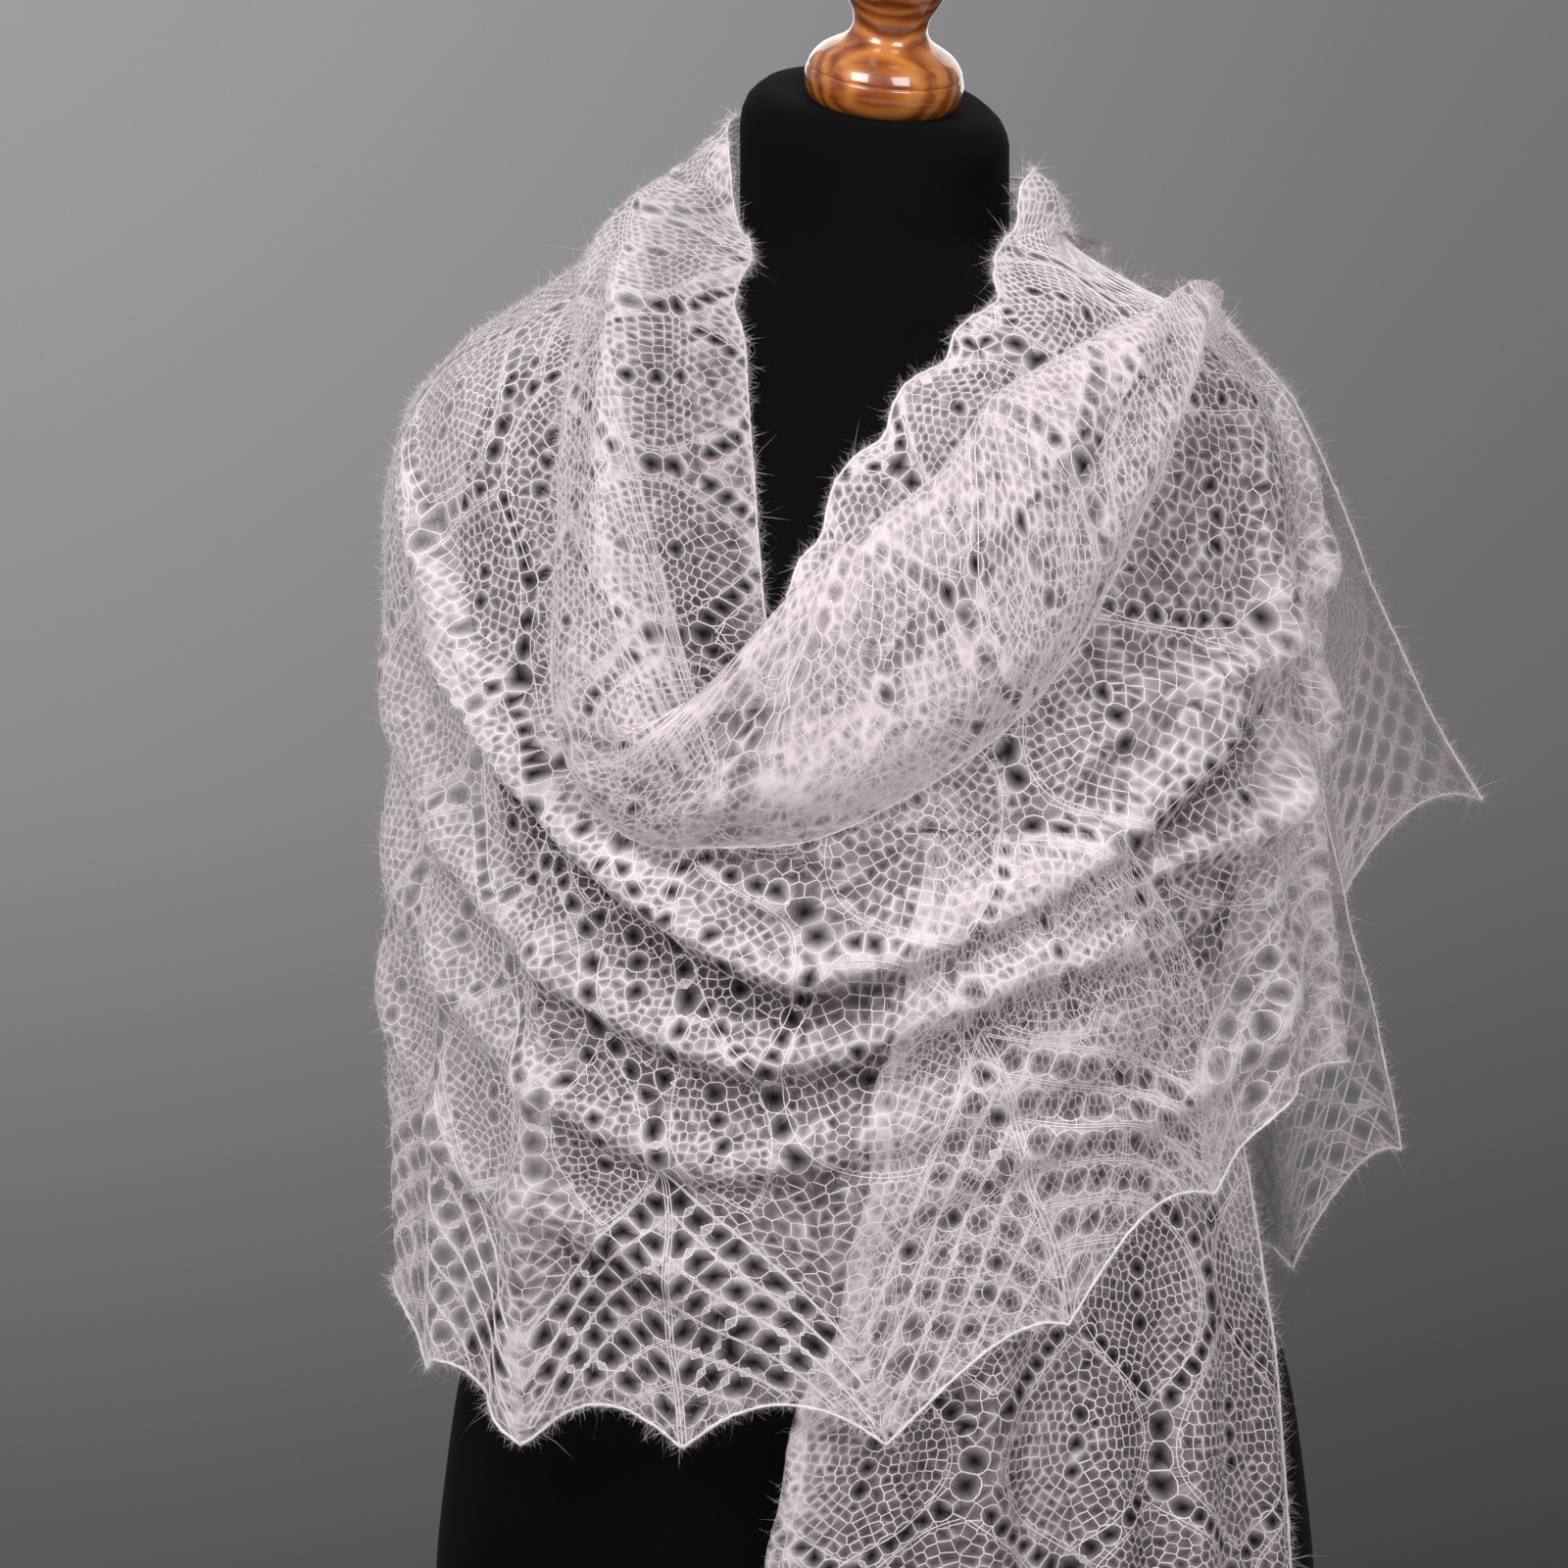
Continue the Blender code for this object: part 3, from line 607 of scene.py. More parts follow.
def fall_drape(s, t):
    start = FALL[0][0]
    part = s / FALL_SCALLOP
    drop = FALL_END - t
    nearness = np.clip(1 - (FALL_END - drop) / SCALLOP_BAND, 0, 1)
    drop = np.maximum(drop - FALL_SCALLOP_DEPTH * scallop_arch(part) * nearness, start)
    at = {
        name: smooth(drop, FALL_TABLE["drop"], FALL_TABLE[name]) for name in FALL_COLUMNS[1:]
    }
    curl_radius = FALL_CURL_RADIUS * (0.6 + 0.4 * np.clip((drop - start) / 200, 0, 1))
    curl = np.clip((FALL_CURL - s) / curl_radius, 0, 3.6)
    flat = np.maximum(s, FALL_CURL)
    near = np.clip(1 - s / 45, 0, 1)
    sway = near * (3.4 * np.sin(drop / 24 + 0.8) + 1.8 * np.sin(drop / 9.5))
    aside = sway - curl_radius * np.sin(curl)
    across = at["front"] * math.pi / 180
    turn = at["left_turn"] + (at["right_turn"] - at["left_turn"]) * flat / FALL_WIDTH
    turn = turn + aside / across
    lift = near * 2.2 * np.sin(drop / 15 + 2) - curl_radius * (1 - np.cos(curl))
    for row in FALL_FOLDS:
        fold = dict(zip(FALL_FOLD_COLUMNS, row))
        down = np.clip((drop - fold["start"]) / (FALL_END - fold["start"]), 0, 1)
        centre = fold["turn"] + fold["lean"] * down
        grown = np.clip(down / FALL_FOLD_GROWTH, 0, 1)
        lift += fold["height"] * grown * bump(turn - centre, fold["half_turn"], fold["half_turn"])
    x, y = section(turn, at["half_width"] + lift, at["front"] + lift, at["front"] + lift)
    return np.stack([x, y, NECK_TOP - drop], -1)


# The lace chart: fans at the hem, and leaves in staggered rows above
FAN_RIBS = 6
FAN_FIRST = 26.0
FAN_STEP = 17.0
FAN_EYELET = 4.9
FAN_PITCH = 8.1
LEAF_HALF_WIDTH = 31.0
LEAF_HALF_HEIGHT = 42.0
LEAF_PITCH = 73.0
LEAF_RISE = 62.0
LEAF_FIRST = 124.0
LEAF_ROW = 3.5
LEAF_CELL = 4.4
SLOT_PITCH = 6.5
RIB_CELL = 1.15
RIB_PITCH = 3.4
RIB_LINE = 0.55
LINE_HALF_WIDTH = 0.2
FINE_SIZE = 2.0
FILL_CELL = 4.3
PLANE_WIDTH = 2.95


def spaced(curve, pitch, shift=0.0):
    """Points at an even pitch along a curve."""
    run = np.r_[0, np.cumsum(np.linalg.norm(np.diff(curve, axis=0), axis=1))]
    at = np.arange(shift * pitch, run[-1], pitch)
    return np.stack([np.interp(at, run, curve[:, 0]), np.interp(at, run, curve[:, 1])], -1)


def fan_motif(scallop):
    """Seeds (s, t, size, kind) of the fan round s = 0: eyelets are kind 2 and ribs kind 1."""
    seeds = []
    for side in (-1, 1):
        for k in range(FAN_RIBS):
            top = FAN_FIRST + FAN_STEP * k
            middle = top - 0.5 * FAN_STEP
            a = 6.0
            while middle - a > 6.2 and a < scallop - 5.5:
                seeds.append((side * a, middle - a, FAN_EYELET, 2))
                a += FAN_PITCH
            a = 3.0
            while top - a > 1.5 and a < scallop - 1:
                seeds.append((side * a, top - a, RIB_CELL, 1))
                a += RIB_PITCH * 0.7
    for t in np.arange(4, FAN_FIRST + FAN_STEP * (FAN_RIBS - 1), RIB_PITCH):
        seeds.append((-1.3, t, RIB_CELL, 1))
        seeds.append((1.3, t, RIB_CELL, 1))
    for t in np.arange(3, 46, RIB_PITCH):
        seeds.append((scallop - 1.4, t, RIB_CELL, 1))
        seeds.append((1.4 - scallop, t, RIB_CELL, 1))
    return np.array(seeds)


def leaf_curve(scale, side=None):
    part = np.linspace(-1, 1, 160)
    x = LEAF_HALF_WIDTH * (1 - part * part) * scale
    y = part * LEAF_HALF_HEIGHT * scale
    return np.stack([x * side, y], -1)


def leaf_motif():
    """Seeds of one leaf about its centre, and of the eyelets round it."""
    seeds = []
    for side in (-1, 1):
        for x, y in spaced(leaf_curve(0.97, side), RIB_PITCH):
            seeds.append((x, y, RIB_CELL, 1))
        level = 0.97 - 3.2 / LEAF_HALF_WIDTH
        k = 0
        while level * LEAF_HALF_WIDTH > 2.4:
            for x, y in spaced(leaf_curve(level, side), LEAF_CELL, 0.5 * (k % 2)):
                seeds.append((x, y, FINE_SIZE, 0))
            level -= LEAF_ROW / LEAF_HALF_WIDTH
            k += 1
        t = np.linspace(16, 46, 60)
        own = LEAF_HALF_WIDTH * np.clip(1 - (t / LEAF_HALF_HEIGHT) ** 2, 0, 1)
        other = LEAF_HALF_WIDTH * np.clip(1 - ((LEAF_RISE - t) / LEAF_HALF_HEIGHT) ** 2, 0, 1)
        middle = (own + LEAF_PITCH / 2 - other) / 2
        for x, y in spaced(np.stack([middle * side, t], -1), SLOT_PITCH, 0.5):
            seeds.append((x, y, 3.3, 2))
        for y, size in ((-16.5, 5.2), (-5.4, 4.6), (5.4, 4.6), (16.5, 5.2)):
            if side > 0:
                seeds.append((LEAF_PITCH / 2, y, size, 2))
    for y in (-10.5, 0.0, 10.5):
        seeds.append((0, y, 3.6, 2))
    return np.array(seeds)


def nearest(points, others):
    """How far each point is from the nearest of the others, and which one that is."""
    reach = np.full(len(points), 1e9)
    which = np.zeros(len(points), int)
    for at in range(0, len(points), 2000):
        block = points[at : at + 2000, None, :2] - others[None, :, :2]
        d = np.sqrt((block**2).sum(-1))
        which[at : at + 2000] = d.argmin(1)
        reach[at : at + 2000] = d.min(1)
    return reach, which


def thinned(seeds, room, taken=()):
    """The seeds that keep their distance from the ones before them."""
    grid = {}
    kept = []
    cell = 2 * room(5.4, 5.4)
    for fresh, rows in ((False, taken), (True, seeds)):
        for row in rows:
            key = (int(row[0] // cell), int(row[1] // cell))
            clear = True
            if fresh:
                for a in (-1, 0, 1):
                    for b in (-1, 0, 1):
                        for p in grid.get((key[0] + a, key[1] + b), ()):
                            gap = room(row[2], p[2])
                            if (row[0] - p[0]) ** 2 + (row[1] - p[1]) ** 2 < gap * gap:
                                clear = False
            if clear:
                grid.setdefault(key, []).append(row)
                if fresh:
                    kept.append(row)
    return np.array(kept).reshape(-1, 4)


def pulled(places, waves):
    """Chart places pulled a little out of line, as a hand-knitted net is."""
    s, t = places[:, 0], places[:, 1]
    calm = np.clip(t / 40, 0, 1)
    aside = 1.6 * np.sin(t / 13 + waves[0]) + 2.4 * np.sin(t / 41 + s / 67 + waves[1])
    upward = 1.4 * np.sin(s / 12 + waves[2]) + 2.6 * np.sin(s / 49 + t / 71 + waves[3])
    return np.stack([s + calm * aside, t + calm * upward], -1)


def leaf_variation(n, i):
    """Each leaf's own shift aside and upward, and its scale."""
    aside = 2.8 * math.sin(2.9 * n + 7.3 * i)
    upward = 3.4 * math.sin(5.1 * n + 3.7 * i + 1)
    return aside, upward, 1 + 0.07 * math.sin(4.3 * n + 1.9 * i + 2)


def pattern_lines(begin, end, rows, offset, scallop, wide):
    """The long strands of the pattern: a fan's ribs and spine, and the leaves' outlines."""
    lines = []
    if offset < LEAF_FIRST / 2:
        fans = [i * scallop for i in range(begin, end + 1) if i % 2 == 0]
        for centre in fans:
            for side in (-1, 1):
                for k in range(FAN_RIBS):
                    top = FAN_FIRST + FAN_STEP * k
                    a = np.arange(1.0, min(scallop - 1, top - 1.5), 2.4)
                    for step in (-RIB_LINE, RIB_LINE):
                        lines.append(np.stack([centre + side * a, top - a + step], -1))
            for x in (-1.6, 0.0, 1.6):
                t = np.arange(1.0, FAN_FIRST + FAN_STEP * (FAN_RIBS - 1), 2.4)
                lines.append(np.stack([np.full(len(t), centre + x), t], -1))
    for n in range(-2 if offset else 0, rows):
        shift = 0.5 if n % 2 == 0 else 0.0
        for i in range(begin * 2, end * 2 + 1):
            aside, upward, scale = leaf_variation(n, i)
            for side in (-1, 1):
                outline = spaced(leaf_curve(0.97, side), 2.6) * scale
                x = outline[:, 0] * wide + (i + shift) * LEAF_PITCH * wide + aside
                y = outline[:, 1] + LEAF_FIRST + LEAF_RISE * n + upward
                lines.append(np.stack([x, y], -1))
    return [line - np.array([0, offset]) for line in lines if len(line) > 1]


def stretches_within(line, first, last, depth_at):
    """The parts of a line that lie on the cloth."""
    deep = depth_at(np.clip(line[:, 0], first, last))
    good = (line[:, 0] > first) & (line[:, 0] < last) & (line[:, 1] > 0) & (line[:, 1] < deep)
    edges = np.nonzero(np.diff(np.r_[0, good.astype(int), 0]))[0]
    return [line[a:b] for a, b in zip(edges[::2], edges[1::2]) if b - a > 1]


def chart_seeds(first, last, depth, rng, offset, scallop, leaf_pitch, to_plane):
    """The seeds of the net's cells in the plane: place, size and kind."""
    pieces = []
    begin = int(math.floor(first / scallop)) - 2
    end = int(math.ceil(last / scallop)) + 2
    if offset < LEAF_FIRST / 2:
        fan = fan_motif(scallop)
        for i in range(begin, end + 1):
            if i % 2 == 0:
                pieces.append(fan + [i * scallop, 0, 0, 0])
    leaf = leaf_motif()
    wide = leaf_pitch / LEAF_PITCH
    rows = int((depth + offset) / LEAF_RISE) + 2
    for n in range(-2 if offset else 0, rows):
        shift = 0.5 if n % 2 == 0 else 0.0
        for i in range(int(first / leaf_pitch) - 2, int(last / leaf_pitch) + 3):
            aside, upward, scale = leaf_variation(n, i)
            turned = leaf.copy()
            turned[:, 0] = leaf[:, 0] * wide * scale + (i + shift) * leaf_pitch + aside
            turned[:, 1] = leaf[:, 1] * scale + LEAF_FIRST + LEAF_RISE * n + upward
            pieces.append(turned)
    seeds = np.concatenate(pieces)
    seeds[:, 1] -= offset
    margin = 9.0
    near = (
        (seeds[:, 0] > first - margin)
        & (seeds[:, 0] < last + margin)
        & (seeds[:, 1] > -margin)
        & (seeds[:, 1] < depth + margin)
    )
    seeds = seeds[near]
    waves = rng.uniform(0, 2 * math.pi, 6)
    drawn = pattern_lines(begin, end, rows, offset, scallop, wide)
    drawn = [pulled(line, waves) for line in drawn]
    seeds[:, :2] = pulled(seeds[:, :2], waves)
    x, y = to_plane(seeds[:, 0], seeds[:, 1])
    seeds[:, 0], seeds[:, 1] = x, y
    seeds[:, :2] += rng.normal(0, 0.33, (len(seeds), 2))
    seeds[:, 2] *= rng.uniform(0.9, 1.1, len(seeds))
    big = seeds[seeds[:, 3] == 2]
    ribs = seeds[seeds[:, 3] == 1]
    fine = seeds[seeds[:, 3] == 0]
    big = thinned(big, lambda a, b: 0.86 * (a + b))
    ribs = thinned(ribs, lambda a, b: 0.96 * (a + b) if a + b > 3 else 2.3, big)
    strong = np.concatenate([big, ribs])
    gap, which = nearest(fine, big)
    wanted = big[which, 2] + fine[:, 2] * 0.9
    keep = gap > wanted - 1.3
    fine, gap, which, wanted = fine[keep], gap[keep], which[keep], wanted[keep]
    away = (fine[:, :2] - big[which, :2]) / np.maximum(gap, 0.01)[:, None]
    fine[:, :2] += away * np.clip(wanted - gap, 0, None)[:, None]
    fine = thinned(fine, lambda a, b: 0.66 * (a + b), strong)
    low = seeds[:, :2].min(0) - 2
    high = seeds[:, :2].max(0) + 2
    columns = np.arange(low[0], high[0], FILL_CELL * 0.8)
    lines = np.arange(low[1], high[1], FILL_CELL * 0.7)
    s, t = np.meshgrid(columns, lines)
    s = s + (np.arange(len(lines)) % 2)[:, None] * FILL_CELL * 0.4
    points = np.stack([s.ravel(), t.ravel()], -1)
    points += rng.uniform(-0.3, 0.3, points.shape) * FILL_CELL
    fill = np.c_[points, np.full(len(points), FINE_SIZE), np.zeros(len(points))]
    strong = np.concatenate([strong, fine])
    fill = thinned(fill, lambda a, b: 0.95 * (a + b) if a + b > 3.5 else 3.3, strong)
    return np.concatenate([strong, fill]), drawn


def as_it_is(s, t):
    return s, t


def wrap_to_plane(s, t):
    """Chart to the plane in which the wrap keeps its true size: round the body, and down it."""
    low, high = WRAP[0][0] * SCALLOP_WIDTH, WRAP[-1][0] * SCALLOP_WIDTH
    held = np.clip(s, low, high)
    scallop = held / SCALLOP_WIDTH
    hem_turn, hem_reach, top_turn, top_reach = (
        smooth(scallop, WRAP_TABLE["scallop"], WRAP_TABLE[name])
        for name in ("hem_turn", "hem_reach", "top_turn", "top_reach")
    )
    down = 1 - t / (hem_reach - top_reach)
    turn = top_turn + (hem_turn - top_turn) * down
    return turn * PLANE_WIDTH + (s - held), t - hem_reach


def wrap_from_plane(x, y):
    """The chart place of a point of that plane."""
    low = np.full(len(x), WRAP[0][0] * SCALLOP_WIDTH)
    high = np.full(len(x), WRAP[-1][0] * SCALLOP_WIDTH)
    first, last = low[0], high[0]
    for _ in range(26):
        middle = (low + high) / 2
        hem = smooth(middle / SCALLOP_WIDTH, WRAP_TABLE["scallop"], WRAP_TABLE["hem_reach"])
        here, _ = wrap_to_plane(middle, y + hem)
        short = here < x
        low = np.where(short, middle, low)
        high = np.where(short, high, middle)
    s = (low + high) / 2
    hem = smooth(s / SCALLOP_WIDTH, WRAP_TABLE["scallop"], WRAP_TABLE["hem_reach"])
    over, _ = wrap_to_plane(s, y + hem)
    s = np.where(s < first + 0.01, first + (x - over), s)
    s = np.where(s > last - 0.01, last + (x - over), s)
    return s, y + hem


def net_of(
    first,
    last,
    depth_at,
    rng,
    offset=0.0,
    scallop=SCALLOP_WIDTH,
    leaf_pitch=LEAF_PITCH,
    to_plane=as_it_is,
    from_plane=as_it_is,
):
    """The net on a chart: node places, strands (two nodes and two cells) and cell outlines."""
    depth = float(depth_at(np.linspace(first, last, 200)).max())
    seeds, drawn = chart_seeds(first, last, depth, rng, offset, scallop, leaf_pitch, to_plane)
    coords = [Vector((s, t)) for s, t in seeds[:, :2]]
    points, _, faces, origin, _, _ = delaunay_2d_cdt(coords, [], [], 0, 1e-5)
    first_of = np.array([o[0] if o else 0 for o in origin])
    places = np.array([(p.x, p.y) for p in points])
    faces = np.array(faces)
    size = seeds[first_of, 2]
    kinds = seeds[first_of, 3].astype(int)
    a, b, c = (places[faces[:, k]] for k in range(3))
    wa, wb, wc = (size[faces[:, k]] ** 2 for k in range(3))
    ab = b - a
    ac = c - a
    right_b = ((b**2).sum(1) - wb) - ((a**2).sum(1) - wa)
    right_c = ((c**2).sum(1) - wc) - ((a**2).sum(1) - wa)
    area = 2 * (ab[:, 0] * ac[:, 1] - ab[:, 1] * ac[:, 0])
    area = np.where(np.abs(area) < 1e-6, 1e-6, area)
    nodes = np.stack(
        [
            (right_b * ac[:, 1] - right_c * ab[:, 1]) / area,
            (ab[:, 0] * right_c - ac[:, 0] * right_b) / area,
        ],
        -1,
    )
    middle = (a + b + c) / 3
    far = np.linalg.norm(nodes - middle, axis=1) > 9
    nodes[far] = middle[far]

    chart = np.stack(from_plane(nodes[:, 0], nodes[:, 1]), -1)
    inside = (
        (chart[:, 0] >= first)
        & (chart[:, 0] <= last)
        & (chart[:, 1] >= 0)
        & (chart[:, 1] <= depth_at(np.clip(chart[:, 0], first, last)))
    )
    chart[:, 0] = np.clip(chart[:, 0], first, last)
    chart[:, 1] = np.clip(chart[:, 1], 0, depth_at(chart[:, 0]))

    corner = np.concatenate([faces[:, [0, 1]], faces[:, [1, 2]], faces[:, [2, 0]]])
    owner = np.tile(np.arange(len(faces)), 3)
    ends = np.sort(corner, axis=1)
    order = np.lexsort((ends[:, 1], ends[:, 0]))
    ends, owner = ends[order], owner[order]
    same = (ends[1:] == ends[:-1]).all(1)
    pick = np.nonzero(same)[0]
    strands = np.stack([owner[pick], owner[pick + 1]], -1)
    cells = ends[pick]
    keep = inside[strands[:, 0]] | inside[strands[:, 1]]
    strands, cells = strands[keep], cells[keep]
    seed_chart = np.stack(from_plane(places[:, 0], places[:, 1]), -1)
    seed_chart[:, 0] = np.clip(seed_chart[:, 0], first, last)
    seed_chart[:, 1] = np.clip(seed_chart[:, 1], 0, depth_at(seed_chart[:, 0]))
    return {
        "plane": nodes,
        "nodes": chart,
        "strands": strands,
        "cells": cells,
        "places": places,
        "seeds": seed_chart,
        "size": size,
        "kinds": kinds,
        "lines": [
            piece
            for line in drawn
            for piece in stretches_within(line, first, last, depth_at)
        ],
    }


def draped(drape, chart):
    """Places in space of chart points, and the cloth's outward direction there."""
    s, t = chart[:, 0], chart[:, 1]
    step = 0.8
    here = drape(s, t)
    across = drape(s + step, t) - drape(s - step, t)
    along = drape(s, t + step) - drape(s, t - step)
    normal = np.cross(across, along)
    length = np.linalg.norm(normal, axis=1, keepdims=True)
    return here, normal / np.maximum(length, 1e-9)


def build_mesh(name, vertices, faces, material, smooth_faces=True):
    """An object from arrays: vertices in mm, faces all of one size or a list of lists."""
    mesh = bpy.data.meshes.new(name)
    vertices = np.asarray(vertices, np.float32) * MM
    if isinstance(faces, np.ndarray):
        sizes = np.full(len(faces), faces.shape[1])
        flat = faces.ravel()
    else:
        sizes = np.array([len(f) for f in faces])
        flat = np.concatenate(faces)
    mesh.vertices.add(len(vertices))
    mesh.vertices.foreach_set("co", vertices.ravel())
    mesh.loops.add(len(flat))
    mesh.loops.foreach_set("vertex_index", flat.astype(np.int32))
    mesh.polygons.add(len(sizes))
    starts = np.r_[0, np.cumsum(sizes)[:-1]]
    mesh.polygons.foreach_set("loop_start", starts.astype(np.int32))
    mesh.update(calc_edges=True)
    if smooth_faces:
        mesh.shade_smooth()
    mesh.materials.append(material)
    obj = bpy.data.objects.new(name, mesh)
    bpy.context.scene.collection.objects.link(obj)
    return obj


def strand_mesh(a, b, normal_a, normal_b, half_width, bow=None, full=True):
    """Strands between points: tent-shaped in section when full, else flat."""
    along = b - a
    length = np.linalg.norm(along, axis=1, keepdims=True)
    along = along / np.maximum(length, 1e-6)
    stations = [(a, normal_a, 1.0), (b, normal_b, 1.0)]
    if bow is not None:
        stations.insert(1, (bow, normal_a + normal_b, 0.9))
    vertices = []
    for place, normal, scale in stations:
        side = np.cross(along, normal)
        side /= np.maximum(np.linalg.norm(side, axis=1, keepdims=True), 1e-6)
        up = np.cross(side, along)
        w = half_width[:, None] * scale
        if full:
            low = up * w * 0.55
            ring = [place - side * w - low, place + up * w * 0.75, place + side * w - low]
        else:
            ring = [place - side * w, place + side * w]
        vertices.append(np.stack(ring, 1))
    wide = len(ring)
    block = np.stack(vertices, 1).reshape(-1, 3)
    base = (np.arange(len(a)) * len(stations) * wide)[:, None]
    faces = []
    for ring in range(len(stations) - 1):
        for k in range(wide - 1):
            o = ring * wide + k
            faces.append(base + np.array([[o, o + 1, o + wide + 1, o + wide]]))
    return block, np.concatenate(faces)


def tube(path, normals, radius, sides=6):
    """A round cord along a path."""
    along = np.gradient(path, axis=0)
    along /= np.linalg.norm(along, axis=1, keepdims=True)
    side = np.cross(along, normals)
    side /= np.linalg.norm(side, axis=1, keepdims=True)
    up = np.cross(side, along)
    turn = np.arange(sides) * 2 * math.pi / sides
    ring = (
        path[:, None]
        + radius[:, None, None]
        * (np.cos(turn)[None, :, None] * side[:, None] + np.sin(turn)[None, :, None] * up[:, None])
    )
    n = len(path)
    index = np.arange(n * sides).reshape(n, sides)
    a = index[:-1]
    b = np.roll(a, -1, axis=1)
    c = np.roll(index[1:], -1, axis=1)
    faces = np.stack([a, b, c, index[1:]], -1).reshape(-1, 4)
    return ring.reshape(-1, 3), faces


def hair_start(points, normals, rng, rise):
    """The root and heading of each fibre."""
    count = len(points)
    root = points + rng.normal(0, 0.3, (count, 3))
    normal = normals * rng.choice([1, 1, 1, -1], count)[:, None]
    heading = normal * rng.uniform(*rise, count)[:, None] + rng.normal(0, 0.75, (count, 3))
    return root, heading / np.linalg.norm(heading, axis=1, keepdims=True)


def long_hairs(points, normals, rng, longest, rise):
    """Long mohair fibres, each a bent ribbon that runs out to a point."""
    count = len(points)
    root, heading = hair_start(points, normals, rng, rise)
    bend = rng.normal(0, 0.6, (count, 3))
    length = (longest * (0.2 + 0.8 * rng.beta(1.4, 4.0, count)))[:, None]
    width = rng.uniform(*HAIR_WIDTHS, count)[:, None] * 0.5
    side = np.cross(heading, bend)
    side /= np.maximum(np.linalg.norm(side, axis=1, keepdims=True), 1e-6)
    half = root + (heading * 0.5 + bend * 0.1) * length
    tip = root + (heading + bend * 0.5) * length
    ring = [root - side * width, root + side * width]
    ring += [half + side * width * 0.8, half - side * width * 0.8, tip]
    base = (np.arange(count) * 5)[:, None]
    corners = base + np.array([[0, 1, 2, 0, 2, 3, 3, 2, 4]])
    return np.stack(ring, 1).reshape(-1, 3), corners.reshape(-1, 3)


def short_hairs(points, normals, rng, longest, rise):
    """Short mohair fibres, each a straight sliver."""
    count = len(points)
    root, heading = hair_start(points, normals, rng, rise)
    length = (longest * (0.15 + 0.85 * rng.beta(1.6, 3.0, count)))[:, None]
    width = rng.uniform(*HAIR_WIDTHS, count)[:, None] * 0.5
    side = np.cross(heading, rng.normal(0, 1, (count, 3)))
    side /= np.maximum(np.linalg.norm(side, axis=1, keepdims=True), 1e-6)
    ring = [root - side * width, root + side * width, root + heading * length]
    return np.stack(ring, 1).reshape(-1, 3), np.arange(count * 3).reshape(-1, 3)


def joined(parts):
    """Several (vertices, faces) as one."""
    vertices = []
    faces = []
    count = 0
    for v, f in parts:
        vertices.append(v)
        faces.append(f + count)
        count += len(v)
    return np.concatenate(vertices), np.concatenate(faces)


# Materials


def new_material(name):
    material = bpy.data.materials.new(name)
    material.use_nodes = True
    tree = material.node_tree
    return material, tree, tree.nodes["Principled BSDF"]


def add_node(tree, kind, **values):
    node = tree.nodes.new(kind)
    for key, value in values.items():
        setattr(node, key, value)
    return node


def noise(tree, scale, detail=2.0, source=None, output="Object"):
    place = add_node(tree, "ShaderNodeTexCoord")
    texture = add_node(tree, "ShaderNodeTexNoise")
    texture.inputs["Scale"].default_value = scale
    texture.inputs["Detail"].default_value = detail
    tree.links.new(source or place.outputs[output], texture.inputs["Vector"])
    return texture.outputs["Fac"]


def ramp(tree, source, stops):
    node = add_node(tree, "ShaderNodeValToRGB")
    while len(node.color_ramp.elements) < len(stops):
        node.color_ramp.elements.new(0.5)
    for element, (at, colour) in zip(node.color_ramp.elements, stops):
        element.position = at
        element.color = (*colour, 1) if len(colour) == 3 else colour
    tree.links.new(source, node.inputs["Fac"])
    return node.outputs["Color"]


def maths(tree, operation, a, b):
    node = add_node(tree, "ShaderNodeMath", operation=operation)
    for socket, value in zip(node.inputs, (a, b)):
        if isinstance(value, (int, float)):
            socket.default_value = value
        else:
            tree.links.new(value, socket)
    return node.outputs["Value"]


def add_bump(tree, shader, height, strength, distance):
    node = add_node(tree, "ShaderNodeBump")
    node.inputs["Strength"].default_value = strength
    node.inputs["Distance"].default_value = distance
    tree.links.new(height, node.inputs["Height"])
    tree.links.new(node.outputs["Normal"], shader.inputs["Normal"])


def yarn_material():
    material, tree, shader = new_material("mohair_yarn")
    colour = ramp(
        tree,
        noise(tree, 60, 3),
        [(0.3, (0.80, 0.715, 0.745)), (0.7, (0.90, 0.83, 0.85))],
    )
    tree.links.new(colour, shader.inputs["Base Color"])
    shader.inputs["Roughness"].default_value = 0.85
    shader.inputs["Sheen Weight"].default_value = 0.5
    shader.inputs["Sheen Roughness"].default_value = 0.5
    shader.inputs["Specular IOR Level"].default_value = 0.25
    add_bump(tree, shader, noise(tree, 2600, 1), 0.35, 0.0002)
    return material


def veil_material():
    material, tree, shader = new_material("mohair_haze")
    shader.inputs["Base Color"].default_value = (0.80, 0.69, 0.735, 1)
    shader.inputs["Roughness"].default_value = 1.0
    shader.inputs["Sheen Weight"].default_value = 0.25
    shader.inputs["Specular IOR Level"].default_value = 0.1
    haze = add_node(tree, "ShaderNodeAttribute", attribute_name="haze").outputs["Fac"]
    tree.links.new(maths(tree, "MULTIPLY", haze, haze), shader.inputs["Alpha"])
    return material


def fibre_material():
    material, tree, shader = new_material("mohair_fibre")
    colour = ramp(tree, noise(tree, 300, 1), [(0.3, (0.86, 0.78, 0.80)), (0.7, (0.95, 0.9, 0.91))])
    tree.links.new(colour, shader.inputs["Base Color"])
    shader.inputs["Roughness"].default_value = 0.6
    shader.inputs["Sheen Weight"].default_value = 0.4
    return material


